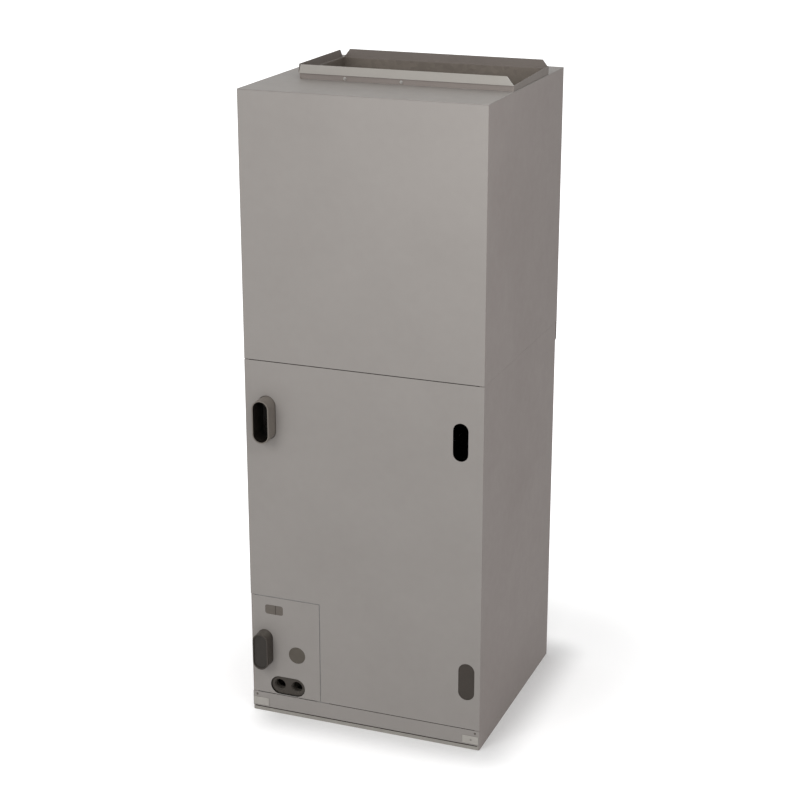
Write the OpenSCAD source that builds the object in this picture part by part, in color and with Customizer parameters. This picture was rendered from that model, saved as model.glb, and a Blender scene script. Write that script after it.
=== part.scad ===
// Upright ducted air handler: a coil section below, a blower section above, all in millimetres.
// Origin: middle of the base on the floor. The front faces -Y, the ducted outlet is on top.

/* [Cabinet] */
// Width of the cabinet
cab_w = 533; // [512:1:600]
// Depth of the lower section, and of the panels and deck in front of it
cab_d = 500; // [480:1:560]
// Height of the coil section, from the floor to the seam
low_h = 822; // [800:1:900]
// Height of the blower section above the seam
up_h = 568; // [550:1:640]
// How much deeper the blower section is at the back
rear_step = 8; // [4:0.5:14]
// Thickness of the sheet metal
sheet = 1.2; // [0.8:0.1:1.5]
// Width of the flanges folded inward along the casing edges
flange_w = 10; // [8:0.5:10]
// Thickness of the insulation
liner_t = 12; // [8:1:13]
// Height of the base tray
base_h = 10; // [8:0.5:12]
// Width of the base tray's ring around the return opening
base_ring = 42; // [38:1:48]

/* [Supply opening] */
// Distance from the left side of the cabinet to the duct collar
collar_left = 67; // [50:1:80]
// Distance from the front of the cabinet to the duct collar
collar_front = 160; // [150:1:180]
// Front to back size of the duct collar
collar_d = 238; // [220:1:250]
// Height of the upright web of the collar
web_h = 13; // [10:0.5:16]
// Height of the lip above the web
lip_h = 17; // [12:0.5:20]
// How far the lip is stepped out from the web
lip_step = 3; // [2:0.5:5]

/* [Drain openings] */
// Distance of the upper oblong openings from the nearer side
top_slot_in = 49.5; // [47.5:0.5:56]
// Distance of the upper oblong openings below the seam
top_slot_drop = 125; // [110:1:140]
// Distance of the lower left oblong opening from the left side
low_slot_in = 32.5; // [32:0.5:33.5]
// Height of the lower oblong openings above the floor
low_slot_z = 158; // [154:1:164]
// Width of the oblong openings
slot_w = 36; // [34:0.5:37]
// Height of the oblong openings
slot_h = 85; // [82:0.5:90]
// How far the upper drain boss stands out in front of the panel
boss_out = 34; // [25:1:40]
// How far the lower drain boss stands out in front of the panel
low_boss_out = 28; // [20:1:34]
// Radius of a threaded drain port
port_r = 13.3; // [12:0.1:13.8]
// Length of thread in a drain port
port_l = 20; // [16:1:22]

/* [Fitting panel] */
// Width of the fitting panel
fit_w = 160; // [156:1:164]
// Height of the top of the fitting panel above the floor
fit_top = 281; // [276:1:300]
// Distance of the round plug from the left side
plug_in = 108.5; // [105:0.5:112]
// Height of the round plug
plug_z = 150; // [146:1:156]
// Diameter of the round plug
plug_d = 39; // [34:0.5:42]
// Height of the two knock-outs
knock_z = 251; // [248:1:254]
// Distance of the knock-outs from the left side
knock_in = 55.5; // [52.5:0.5:58.5]
// Width of the pair of knock-outs
knock_w = 42; // [38:1:44]
// Height of a knock-out
knock_h = 22; // [18:1:24]
// Distance of the level drain slot from the left side
level_in = 85; // [82.5:0.5:88]
// Height of the level drain slot
level_z = 70; // [69.5:0.5:72]
// Width of the level drain slot
level_w = 82; // [80:0.5:86]
// Height of the level drain slot
level_h = 43; // [41:0.5:44]

/* [Filter] */
// Height of the filter door
door_h = 35.5; // [34:0.5:38]
// How much narrower the air filter is than the cabinet
filter_less_w = 23; // [22:1:40]
// How much shorter the air filter is than the cabinet is deep
filter_less_d = 30; // [24:1:50]
// Thickness of the air filter
filter_t = 24; // [20:0.5:25]
// Number of pleats in the filter
pleats = 24; // [16:1:32]

/* [Coil] */
// Thickness of a coil slab
slab_t = 60; // [50:1:62]
// Length of a coil slab up its slope
slab_l = 520; // [460:1:540]
// Depth of the fins from front to back
slab_d = 370; // [340:1:376]
// Half the gap left between the two slabs at their tops
apex_gap = 18; // [10:0.5:30]
// Tube passes up each slab
tube_rows = 16; // [12:1:18]
// Diameter of the coil tubes
tube_d = 9.5; // [8:0.1:9.6]
// Diameter of the suction line
suction_d = 22.2; // [19:0.1:24]
// Diameter of the liquid line
liquid_d = 9.5; // [8:0.1:10]

/* [Blower] */
// Diameter of the blower wheel
wheel_d = 254; // [240:1:258]
// Width of the blower wheel
wheel_w = 203; // [190:1:210]
// Number of blades in the wheel
blades = 36; // [24:1:44]
// Diameter of the motor
motor_d = 138; // [124:1:142]
// Length of the motor
motor_l = 130; // [110:1:140]
// Diameter of the motor shaft
shaft_d = 12.7; // [10:0.1:14]
// Radial clearance of the shaft in the motor
shaft_clear = 0.05; // [0.02:0.01:0.09]
// Height of the plenum between the blower shelf and the deck
plenum_h = 126.8; // [120:0.1:150]
// Distance of the blower axle behind the front of the cabinet
axle_front = 195; // [192:1:200]

/* [Hidden] */
// Overrun of every cut
over = 1;
// Seat between flat pieces that lie on each other
seat = 0.3;
// Gap between neighbouring panels
panel_gap = 1.6;
// Clearance around a piece that passes through a hole
pass_gap = 1;
// Smoothness of round shapes
$fn = 48;

total_h = low_h + up_h;
half_w = cab_w / 2;
front_y = -cab_d / 2;
back_y = cab_d / 2;
up_back_y = back_y + rear_step;
panel_back_y = front_y + sheet;
flange_y = panel_back_y + seat;
inner_x = half_w - sheet;
flange_x = inner_x - flange_w;
lined_x = inner_x - liner_t;
deck_z = total_h - sheet;
// Depth of the folded edge behind a panel
return_d = 13;
// Distance of a panel's folded edge from the casing flange
return_in = 3;
return_x = flange_x - return_in;
panel_liner_back = panel_back_y + liner_t;

top_slot_x = half_w - top_slot_in;
low_slot_x = half_w - low_slot_in;
plug_x = half_w - plug_in;
knock_x = half_w - knock_in;
level_x = half_w - level_in;
filter_w = cab_w - filter_less_w;
filter_d = cab_d - filter_less_d;

top_slot_z = low_h - top_slot_drop;
// Wall of the drain bosses
boss_wall = 2.6;
boss_w = slot_w + boss_wall;
boss_h = slot_h + 4 * boss_wall;
// Spacing between the two ports of a drain boss
port_pitch_share = 1.52;
port_pitch = port_r * 2 * port_pitch_share;
// Distance of the pans behind the panels
pan_back = 18;
pan_y = front_y + pan_back;

header_z = base_h + door_h - 2 * sheet;
fit_left = -half_w + 2.5 * sheet;
fit_right = fit_left + fit_w;
panel_z = header_z + 2 * sheet + panel_gap;
fit_z = panel_z;

// Bottom of the drain pan, on the filter rails
pan_z = header_z + sheet;

// A block from its lowest corner to its highest
module span(lo, hi) {
    translate(lo) cube(hi - lo);
}

// Both sides of the cabinet, from one drawn on the right
module both_sides() {
    children();
    mirror([1, 0, 0]) children();
}

// An upright outline with round ends, centred
module oblong(w, h) {
    square([w, h - w], center = true);
    for (end = [-1, 1]) translate([0, end * (h - w) / 2]) circle(d = w);
}

// An outline with rounded corners, centred
module rounded(w, h, r) {
    square([w - 2 * r, h], center = true);
    square([w, h - 2 * r], center = true);
    for (sx = [-1, 1], sy = [-1, 1]) translate([sx * (w / 2 - r), sy * (h / 2 - r)]) circle(r);
}

// Sets a drawing of the front view, upright, reaching from the first depth to the second
module facing_front(y_near, y_far) {
    translate([0, y_far, 0]) rotate([90, 0, 0]) linear_extrude(y_far - y_near) children();
}

// Sets a drawing of the right side view (depth, height) across from the first width to the second
module facing_side(x_left, x_right) {
    translate([x_left, 0, 0]) rotate([90, 0, 90]) linear_extrude(x_right - x_left) children();
}

// A row of places from the first to the last
function row(first, last, count) = [for (i = [0 : count - 1]) first + (last - first) * i / (count - 1)];

// A low washer head with a narrower crown
module screw_head(d, t) {
    crown_share = 0.7;
    crown_rise = 1.5;
    cylinder(h = t, d = d);
    cylinder(h = t * crown_rise, d = d * crown_share);
}

/* Casing */

// A casing's two sides and back with the edges folded inward at the front
module casing(z0, z1, flange_z0, y_back) {
    difference() {
        span([-half_w, flange_y, z0], [half_w, y_back, z1]);
        span([-inner_x, flange_y - over, z0 - over], [inner_x, y_back - sheet, z1 + over]);
    }
    both_sides() span([flange_x, flange_y, flange_z0], [half_w - sheet / 2, flange_y + sheet, z1]);
}

// A flange folded inward along three sides of a casing's edge
module casing_ring(z0, y_back) {
    difference() {
        span([-inner_x - sheet / 2, flange_y + sheet / 2, z0], [inner_x + sheet / 2, y_back - sheet / 2, z0 + sheet]);
        span([-flange_x, flange_y, z0 - over], [flange_x, y_back - sheet - flange_w, z0 + sheet + over]);
    }
}

module base_frame() color("gainsboro") {
    tray_x = inner_x - seat;
    tray_back = back_y - sheet - seat;
    difference() {
        span([-tray_x, front_y + seat, 0], [tray_x, tray_back, base_h]);
        span([-tray_x + sheet, front_y + seat + sheet, sheet], [tray_x - sheet, tray_back - sheet, base_h - sheet]);
        span([-tray_x + base_ring, front_y + base_ring, -over], [tray_x - base_ring, tray_back - base_ring, base_h + over]);
    }
}

module lower_casing() color("dimgray") {
    casing(0, low_h, header_z + sheet, back_y);
    casing_ring(low_h - sheet, back_y);
}

module upper_casing() color("dimgray") {
    casing(low_h, deck_z, low_h, up_back_y);
    casing_ring(low_h, up_back_y);
}

// Places of the duct collar
collar_x0 = -half_w + collar_left;
collar_x1 = inner_x - seat;
collar_y0 = front_y + collar_front;
collar_y1 = collar_y0 + collar_d;
throat_x0 = collar_x0 + sheet;
throat_x1 = collar_x1 - sheet;
throat_y0 = collar_y0 + sheet;
throat_y1 = collar_y1 - sheet;
// Depth of the deck's edge folded down at the front
deck_fold = 22;

module top_deck() color("gray") {
    difference() {
        span([-half_w, front_y, deck_z], [half_w, up_back_y, total_h]);
        span([throat_x0 - seat, throat_y0 - seat, deck_z - over], [throat_x1 + seat, throat_y1 + seat, total_h + over]);
    }
    fold_x = flange_x - seat;
    span([-fold_x, flange_y, deck_z - deck_fold], [fold_x, flange_y + sheet, deck_z + sheet / 2]);
}

// Profile of a collar side: an upright web, a ledge out and an upright lip, drawn toward the outside
module collar_profile() {
    square([sheet, web_h]);
    translate([-lip_step, web_h - sheet]) square([lip_step + sheet, sheet]);
    translate([-lip_step, web_h - sheet]) square([sheet, lip_h + sheet]);
}

// Cuts the two ends of a lip back on a slant, for a collar side as long as given
module lip_corner_cut(length, first_cut, last_cut) {
    rise = lip_h + over;
    for (e = [[0, 1, first_cut], [length, -1, last_cut]]) {
        translate([e[0], 0]) polygon([
            [-e[1] * over, web_h - sheet / 2],
            [0, web_h - sheet / 2],
            [e[1] * e[2], web_h + rise],
            [-e[1] * over, web_h + rise]]);
    }
}

// One side of the collar along +X from zero, its outside toward -Y
module collar_side(length, first_cut, last_cut) {
    difference() {
        rotate([90, 0, 90]) linear_extrude(length) collar_profile();
        translate([0, lip_step * 3, 0]) rotate([90, 0, 0]) linear_extrude(lip_step * 6) lip_corner_cut(length, first_cut, last_cut);
    }
}

// Slant of the lip ends, as a share of the lip's height
lip_slant_share = 0.85;
lip_slant = lip_h * lip_slant_share;
// Slant of the lip's end at the front left corner, as a share of the others
lip_front_share = 0.3;
lip_front = lip_slant * lip_front_share;
// Radius of the plain lower end of the front web
web_round = 10;
// Radius of the holes for the collar's screws
collar_screw_r = 2;
// Places of the screws along the front of the collar, as shares of its length
front_screw_shares = [0.218, 0.485];
back_screw_shares = [0.2, 0.5, 0.8];
collar_l = collar_x1 - collar_x0;
// Height of those screws above the deck, as a share of the web
screw_rise_share = 0.42;
collar_screw_z = total_h + web_h * screw_rise_share;

module supply_flange_front() color("silver") difference() {
    translate([collar_x0, collar_y0, total_h]) difference() {
        collar_side(collar_l, lip_front, lip_slant);
        translate([0, sheet + over, 0]) rotate([90, 0, 0]) linear_extrude(sheet + 2 * over) difference() {
            translate([-over, -over]) square(web_round + over);
            translate([web_round, web_round]) circle(web_round);
        }
    }
    for (s = front_screw_shares) translate([collar_x0 + s * collar_l, collar_y0 - over, collar_screw_z])
        rotate([-90, 0, 0]) cylinder(h = sheet + 2 * over, r = collar_screw_r);
}

module supply_flange_back() color("silver") difference() {
    translate([collar_x1, collar_y1, total_h]) rotate([0, 0, 180]) collar_side(collar_l, lip_slant, lip_slant);
    for (s = back_screw_shares) translate([collar_x0 + s * collar_l, collar_y1 + over, collar_screw_z])
        rotate([90, 0, 0]) cylinder(h = sheet + 2 * over, r = collar_screw_r);
}

module supply_flange_left() color("silver") {
    side_l = collar_d - 2 * sheet;
    translate([collar_x0, collar_y1 - sheet, total_h]) rotate([0, 0, -90]) collar_side(side_l, lip_slant, lip_front);
}

// Heights of the plain right side of the collar, at the front and at the back
right_front_share = 0.9;
right_back_share = 1.4;

module supply_flange_right() color("silver") {
    facing_side(collar_x1 - sheet, collar_x1) polygon([
        [collar_y0 + sheet, total_h],
        [collar_y0 + sheet, total_h + web_h * right_front_share],
        [collar_y1 - sheet, total_h + web_h * right_back_share],
        [collar_y1 - sheet, total_h]]);
}

// Head of a sheet metal screw
head_d = 7;
head_t = 1.6;

module flange_screws() color("white") {
    for (s = front_screw_shares) translate([collar_x0 + s * collar_l, collar_y0, collar_screw_z]) rotate([90, 0, 0]) {
        screw_head(head_d, head_t);
        translate([0, 0, -sheet]) cylinder(h = sheet, r = collar_screw_r - seat);
    }
    for (s = back_screw_shares) translate([collar_x0 + s * collar_l, collar_y1, collar_screw_z]) rotate([-90, 0, 0]) {
        screw_head(head_d, head_t);
        translate([0, 0, -sheet]) cylinder(h = sheet, r = collar_screw_r - seat);
    }
}

// Half the height of the bracket that joins the two sections at the back
joiner_half = 53;
// How far that bracket stands out behind the blower section
joiner_out = 12;
// Slope of its long edges
joiner_slope = 9;
joiner_sheet = 1.5;
joiner_end = 4;

// Hat section of the joiner in the side view
module joiner_profile(inset) {
    polygon([
        [up_back_y, low_h + joiner_half - inset],
        [up_back_y + joiner_out - inset, low_h + joiner_half - joiner_slope - inset],
        [up_back_y + joiner_out - inset, low_h - joiner_half + joiner_slope + inset],
        [back_y, low_h - joiner_half + inset],
        [back_y, low_h],
        [up_back_y, low_h]]);
}

module joiner_bracket() color("dimgray") {
    joiner_x = half_w - joiner_end;
    difference() {
        facing_side(-joiner_x, joiner_x) joiner_profile(0);
        facing_side(-joiner_x - over, joiner_x + over) joiner_profile(joiner_sheet);
        for (p = joiner_places) translate(p) rotate([-90, 0, 0]) cylinder(h = 2 * joiner_out, r = collar_screw_r);
    }
}

joiner_shares = [-0.85, -0.3, 0.3, 0.85];
joiner_face_y = up_back_y + joiner_out;
joiner_places = [for (s = joiner_shares, dz = [-1, 1]) [s * half_w, joiner_face_y - joiner_out / 2, low_h + dz * joiner_half / 2]];

module joiner_screws() color("white") {
    for (p = joiner_places) translate([p[0], joiner_face_y, p[2]]) rotate([-90, 0, 0]) {
        screw_head(head_d, head_t);
        translate([0, 0, -joiner_sheet]) cylinder(h = joiner_sheet, r = collar_screw_r - seat);
    }
}

/* Rails behind the panels */

// Depth of the rails across the front
rail_d = 11;
seam_rail_h = 13;

module seam_cross_rail() color("silver") {
    difference() {
        span([-flange_x, flange_y, low_h - seam_rail_h], [flange_x, flange_y + rail_d, low_h + seam_rail_h]);
        span([-flange_x - over, flange_y + sheet, low_h - seam_rail_h + sheet], [flange_x + over, flange_y + rail_d + over, low_h + seam_rail_h - sheet]);
        both_sides() span([lined_x - pass_gap, flange_y + sheet, low_h - seam_rail_h - over], [flange_x + over, flange_y + rail_d + over, low_h + seam_rail_h + over]);
    }
}

header_leg = 14;
post_w = 20;

module filter_header() color("silver") {
    span([-inner_x, flange_y, header_z], [inner_x, flange_y + rail_d, header_z + sheet]);
    span([fit_right + post_w, flange_y, header_z], [flange_x, flange_y + sheet, header_z + header_leg]);
}

// Angle post and bar that carry the inner edges of the fitting panel
module fitting_panel_frame() color("silver") {
    post_z = header_z + sheet;
    bar_z = fit_top - post_w / 2;
    span([fit_right - post_w / 2, flange_y, post_z], [fit_right + post_w, flange_y + sheet, fit_top + post_w]);
    span([fit_right + post_w - sheet, flange_y, post_z], [fit_right + post_w, flange_y + rail_d, fit_top + post_w]);
    span([-flange_x, flange_y, bar_z], [fit_right, flange_y + sheet, fit_top + post_w]);
}

/* Insulation */

// A blanket inside a casing's sides and back
module casing_liner(z0, z1, y_back) {
    y0 = flange_y + sheet;
    difference() {
        span([-inner_x, y0, z0], [inner_x, y_back - sheet, z1]);
        span([-lined_x, y0 - over, z0 - over], [lined_x, y_back - sheet - liner_t, z1 + over]);
    }
}

liner_z = header_z + sheet;

module lower_liner() color("darkslategray") casing_liner(liner_z, low_h - sheet, back_y);

module upper_liner() color("darkslategray") casing_liner(low_h + sheet, shelf_z, up_back_y);

/* Access panels */

// A flat panel of the front with its edges folded back, from a left and bottom to a right and top
module panel_folds(z0, z1) {
    both_sides() span([return_x - sheet, panel_back_y - sheet / 2, z0], [return_x, panel_back_y + return_d, z1]);
}

upper_panel_z0 = low_h + panel_gap / 2;
upper_panel_z1 = deck_z - seat;
// Clear height kept beside the rails by the folds and liners of the panels
rail_gap = 3;
fold_in = seam_rail_h + rail_gap;
upper_fold_z1 = deck_z - deck_fold - rail_gap;

module upper_access_panel() color("darkgray") {
    span([-half_w, front_y, upper_panel_z0], [half_w, panel_back_y, upper_panel_z1]);
    panel_folds(low_h + fold_in, upper_fold_z1);
}

module upper_panel_liner() color("darkslategray") {
    x = return_x - sheet;
    span([-x, panel_back_y, low_h + fold_in], [x, panel_liner_back, upper_fold_z1]);
}

coil_panel_z1 = low_h - panel_gap / 2;
notch_x = fit_right + panel_gap;
notch_z = fit_top + panel_gap;
// Clearance of the panel's folds and liner from the frame around the fitting panel
frame_gap = 4;
coil_fold_z0 = fit_top + post_w + frame_gap;
coil_fold_z1 = low_h - fold_in;
liner_low_x = fit_right + post_w + frame_gap;
liner_low_z = header_z + header_leg + frame_gap;

// Cuts of the two upper and the lower right oblong openings
module coil_panel_holes() {
    translate([-top_slot_x, top_slot_z]) oblong(boss_w + 2 * pass_gap, boss_h + 2 * pass_gap);
    translate([top_slot_x, top_slot_z]) oblong(slot_w - boss_wall, slot_h - boss_wall);
    translate([low_slot_x + low_slot_shift, low_slot_z]) oblong(slot_w, slot_h);
}

// The lower right opening stands this much further out than the boss on the left
low_slot_shift = 1.5;

module coil_access_panel() color("darkgray") difference() {
    union() {
        span([-half_w, front_y, panel_z], [half_w, panel_back_y, coil_panel_z1]);
        span([return_x - sheet, panel_back_y - sheet / 2, coil_cap_top], [return_x, panel_back_y + return_d, coil_fold_z1]);
        span([-return_x, panel_back_y - sheet / 2, coil_fold_z0], [-return_x + sheet, panel_back_y + return_d, coil_fold_z1]);
    }
    span([-half_w - over, front_y - over, panel_z - over], [notch_x, panel_back_y + over, notch_z]);
    facing_front(front_y - over, panel_back_y + over) coil_panel_holes();
}

// The right fold starts above the cap of the lower opening
cap_gap = 8;
coil_cap_top = low_slot_z + slot_h / 2 + cap_gap;

module coil_panel_liner() color("darkslategray") {
    x = return_x - sheet;
    // How much wider the liner's holes are than the panel's
    hole_gap = 12;
    difference() {
        span([-x, panel_back_y, liner_low_z], [x, panel_liner_back, coil_fold_z1]);
        span([-x - over, panel_back_y - over, liner_low_z - over], [liner_low_x, panel_liner_back + over, coil_fold_z0]);
        facing_front(panel_back_y - over, panel_liner_back + over) {
            for (side = [-1, 1]) translate([side * top_slot_x, top_slot_z]) oblong(boss_w + hole_gap, boss_h + hole_gap);
            translate([low_slot_x + low_slot_shift, low_slot_z]) oblong(slot_w + hole_gap, slot_h + hole_gap);
        }
    }
}

module fitting_panel() color("darkgray") difference() {
    span([fit_left, front_y, fit_z], [fit_right, panel_back_y, fit_top]);
    facing_front(front_y - over, panel_back_y + over) {
        translate([-low_slot_x, low_slot_z]) oblong(slot_w + 2 * seat, slot_h + 2 * seat);
        translate([-plug_x, plug_z]) circle(d = plug_d);
        translate([-knock_x, knock_z]) rounded(knock_w, knock_h, knock_round);
        translate([-level_x, level_z]) rotate(90) oblong(level_h, level_w);
    }
}

knock_round = 5;

// Rubber plug in the round hole for the suction line
module suction_plug() color("#5c564e") {
    lip = 2;
    translate([-plug_x, panel_back_y, plug_z]) rotate([90, 0, 0]) cylinder(h = sheet, d = plug_d);
    translate([-plug_x, panel_back_y + lip, plug_z]) rotate([90, 0, 0]) cylinder(h = lip, d = plug_d + 2 * lip);
}

// Two small plates that are knocked out for the liquid line and a control lead
module knockout_plates() color("#69625a") {
    split = 0.8;
    split_share = 0.07;
    facing_front(front_y + sheet / 2, panel_back_y) difference() {
        translate([-knock_x, knock_z]) rounded(knock_w, knock_h, knock_round);
        translate([-knock_x + knock_w * split_share, knock_z]) square([split, 2 * knock_h], center = true);
    }
}

// Cap that closes the lower right opening from behind
module right_slot_cap() color("#4e4841") {
    rim = 1.5;
    depth = 5;
    translate([low_slot_x + low_slot_shift, 0, low_slot_z]) {
        facing_front(panel_back_y, panel_back_y + sheet) oblong(slot_w + 2 * rim, slot_h + 2 * rim);
        facing_front(panel_back_y - sheet / 2, panel_back_y + depth) oblong(slot_w - rim, slot_h - rim);
    }
}

/* Coil, lying on the drain pan */

// Distance of a slab's outer foot from the liner
foot_in = 17.5;
// Lean of a slab from upright, which brings the tops of the two together
slab_span = lined_x - foot_in - apex_gap;
slab_lean = asin(slab_span / norm([slab_l, slab_t])) - atan2(slab_t, slab_l);
lean_sin = sin(slab_lean);
lean_cos = cos(slab_lean);
// Thickness of the drain pan's floor
pan_floor = 3;
// Middle of a slab's foot
foot_x = lined_x - slab_t / 2 * lean_cos - foot_in;
foot_z = pan_z + pan_floor + seat + slab_t / 2 * lean_sin;
// Front of the fins, behind the panels
slab_back = 85;
slab_y0 = front_y + slab_back;
slab_y1 = slab_y0 + slab_d;
// Thickness of the tube plates at the ends of the fins
plate_t = 1.5;

// Outline of the right slab in the front view, grown all round
module slab_outline(grow) {
    translate([foot_x, foot_z]) rotate(slab_lean) translate([-slab_t / 2 - grow, -grow]) square([slab_t + 2 * grow, slab_l + 2 * grow]);
}

// Places of the tubes across a slab, in the slab's own directions
tube_cols = 2;
col_pitch = slab_t / tube_cols;
row_pitch = slab_l / tube_rows;

function slab_point(across, along) = [
    foot_x + across * lean_cos - along * lean_sin,
    foot_z + across * lean_sin + along * lean_cos];

module slab_fins() facing_front(slab_y0, slab_y1) slab_outline(0);

module coil_fins_right() color("silver") slab_fins();

module coil_fins_left() color("silver") mirror([1, 0, 0]) slab_fins();

module coil_tube_plates() color("lightgray") both_sides() {
    facing_front(slab_y0 - plate_t, slab_y0) slab_outline(0);
    facing_front(slab_y1, slab_y1 + plate_t) slab_outline(0);
}

// One hairpin bend lying in the slab's plane, standing out along -Y
module return_bend() {
    r = row_pitch / 2;
    translate([0, 0, r]) rotate([0, 90, 180]) rotate_extrude(angle = 180, $fn = 28)
        translate([r, 0]) circle(d = tube_d, $fn = 20);
}

module slab_bends(first) {
    for (c = [0 : tube_cols - 1], i = [first : 2 : tube_rows - 2]) {
        p = slab_point((c - (tube_cols - 1) / 2) * col_pitch, (i + 0.5) * row_pitch);
        translate([p[0], 0, p[1]]) rotate([0, -slab_lean, 0]) return_bend();
    }
}

module return_bends() color("peru") both_sides() {
    translate([0, slab_y0 - plate_t, 0]) slab_bends(0);
    translate([0, slab_y1 + plate_t, 0]) mirror([0, 1, 0]) slab_bends(1);
}

// Plates that close the triangle between the slabs at the front and the back
module coil_baffles() color("silver") {
    low = slab_point(-slab_t / 2, pan_inner_h / lean_cos);
    high = slab_point(-slab_t / 2, slab_l);
    for (y = [slab_y0 - plate_t, slab_y1]) facing_front(y, y + plate_t) polygon([
        [-low[0], low[1]], [low[0], low[1]], [high[0], high[1]], [-high[0], high[1]]]);
}

// Height of the cap over the ends of the fins
cap_rise = 0.05;

module coil_apex_cap() color("silver") translate([0, 0, cap_rise]) {
    inner = slab_point(-slab_t / 2, slab_l);
    outer = slab_point(slab_t / 2, slab_l);
    facing_front(slab_y0 - plate_t, slab_y1 + plate_t) polygon([
        [inner[0], inner[1]], outer, [outer[0], outer[1] + sheet], [inner[0], inner[1] + sheet],
        [-inner[0], inner[1] + sheet], [-outer[0], outer[1] + sheet], [-outer[0], outer[1]], [-inner[0], inner[1]]]);
}

/* Drain pans */

// Half width of the air opening through the pan, and the pan's walls
pan_wall = 3;
// Clearance of the pans from the liner
pan_gap = 3;
pan_side = lined_x - pan_gap;
pan_depth = 45;
pan_inner_h = 27;
air_x = slab_point(-slab_t / 2, 0)[0] - pan_inner_h * tan(slab_lean) - pan_wall - pass_gap;
pan_back_y = back_y - sheet - liner_t - pan_gap;
pan_front_w = slab_y0 - plate_t - pass_gap - pan_wall - pan_y;
pan_rear_w = pan_back_y - slab_y1 - plate_t - pass_gap - pan_wall;

module level_ports(y0, y1) {
    for (side = [-1, 1]) translate([-level_x + side * port_pitch / 2, y1, level_z])
        rotate([90, 0, 0]) cylinder(h = y1 - y0, r = port_r);
}

level_face_y = panel_back_y + 2 * sheet;
// How much smaller the boss is than its slot
level_less = 2;
level_boss_l = port_l + over / 2;

module upflow_drain_pan() color("#3a3a3a") difference() {
    union() {
        difference() {
            span([-pan_side, pan_y, pan_z], [pan_side, pan_back_y, pan_z + pan_depth]);
            span([-pan_side + pan_wall, pan_y + pan_wall, pan_z + pan_floor], [pan_side - pan_wall, pan_back_y - pan_wall, pan_z + pan_depth + over]);
        }
        span([-air_x - pan_wall, pan_y + pan_front_w, pan_z], [air_x + pan_wall, pan_back_y - pan_rear_w, pan_z + pan_inner_h]);
        facing_front(level_face_y, level_face_y + level_boss_l) translate([-level_x, level_z])
            rotate(90) oblong(level_h - level_less, level_w - level_less);
    }
    span([-air_x, pan_y + pan_front_w + pan_wall, pan_z - over], [air_x, pan_back_y - pan_rear_w - pan_wall, pan_z + pan_inner_h + over]);
    level_ports(level_face_y - over, level_face_y + level_boss_l + over);
}

// The pan that catches the water when the cabinet is laid on its left side
side_pan_lift = 14;
side_pan_margin = 2;
side_pan_z0 = pan_z + pan_depth + side_pan_lift;
side_pan_z1 = top_slot_z + boss_h / 2 + 2 * side_pan_margin;
side_pan_x0 = -lined_x + seat;
side_pan_x1 = -top_slot_x + boss_w / 2 + side_pan_margin;
side_pan_back = pan_back_y - pan_gap;
side_pan_gap = 3.5;
side_pan_t = 2.5;
port_wall_y = pan_y + port_l;

// Outline of the side pan in the front view, following the slab's slope
module side_pan_outline() {
    slope = tan(slab_lean);
    near = slab_point(slab_t / 2, 0);
    edge_x = -near[0] - side_pan_gap;
    low_x = edge_x + (side_pan_z0 - near[1]) * slope;
    reach_z = near[1] + (side_pan_x1 - edge_x) / slope;
    polygon([
        [side_pan_x0, side_pan_z0],
        [low_x, side_pan_z0],
        [side_pan_x1, reach_z],
        [side_pan_x1, side_pan_z1],
        [side_pan_x0, side_pan_z1]]);
}

// Puts a drawing at the two drain bosses, the upper and the lower
module at_upper_boss() {
    translate([-top_slot_x, top_slot_z]) children();
}

module at_lower_boss() {
    translate([-low_slot_x, low_slot_z]) children();
}

module boss_ports() {
    for (end = [-1, 1]) translate([0, end * port_pitch / 2]) circle(port_r);
}

module horizontal_drain_pan() color("#6a645c") difference() {
    union() {
        difference() {
            facing_front(pan_y, side_pan_back) side_pan_outline();
            // The trough is open toward the coil
            facing_front(pan_y + side_pan_t, side_pan_back - side_pan_t)
                translate([side_pan_x0 + side_pan_t, side_pan_z0 + side_pan_t])
                square([side_pan_x1 - side_pan_x0, side_pan_z1 - side_pan_z0 - 2 * side_pan_t]);
        }
        facing_front(pan_y, port_wall_y) intersection() {
            side_pan_outline();
            union() {
                at_upper_boss() oblong(boss_w, boss_h);
                at_lower_boss() oblong(slot_w, slot_h);
            }
        }
        facing_front(front_y - boss_out, pan_y) at_upper_boss() oblong(boss_w, boss_h);
        facing_front(front_y - low_boss_out, pan_y) at_lower_boss() oblong(slot_w, slot_h);
    }
    facing_front(front_y - boss_out - over, pan_y) at_upper_boss() oblong(boss_w - 2 * boss_wall, boss_h - 2 * boss_wall);
    facing_front(front_y - low_boss_out - over, pan_y) at_lower_boss() oblong(slot_w - 2 * boss_wall, slot_h - 2 * boss_wall);
    facing_front(pan_y - over, port_wall_y + over) {
        at_upper_boss() boss_ports();
        at_lower_boss() boss_ports();
    }
}

// Dark plug that closes the lower drain boss
module lower_drain_plug() color("#3a342e") {
    plug_l = 22;
    recess = 2;
    y0 = front_y - low_boss_out + recess;
    facing_front(y0, y0 + plug_l) at_lower_boss() oblong(slot_w - 2 * boss_wall - seat, slot_h - 2 * boss_wall - seat);
}

/* Filter and its door */

rail_in = 9;
rail_x = half_w - rail_in;
rail_lip = 30;
rail_front_in = 14;
rail_back_in = 2;
rail_y0 = front_y + rail_front_in;
rail_y1 = back_y - sheet - rail_back_in;

module filter_rails() color("silver") both_sides() {
    span([rail_x - sheet, rail_y0, base_h], [rail_x, rail_y1, header_z]);
    span([rail_x - rail_lip, rail_y0, base_h], [rail_x, rail_y1, base_h + sheet]);
    span([rail_x - rail_lip, flange_y + rail_d, header_z], [rail_x, rail_y1, header_z + sheet]);
}

filter_z0 = base_h + sheet + seat;
filter_in = 17;
filter_y0 = front_y + filter_in;
card_t = 2;

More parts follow.
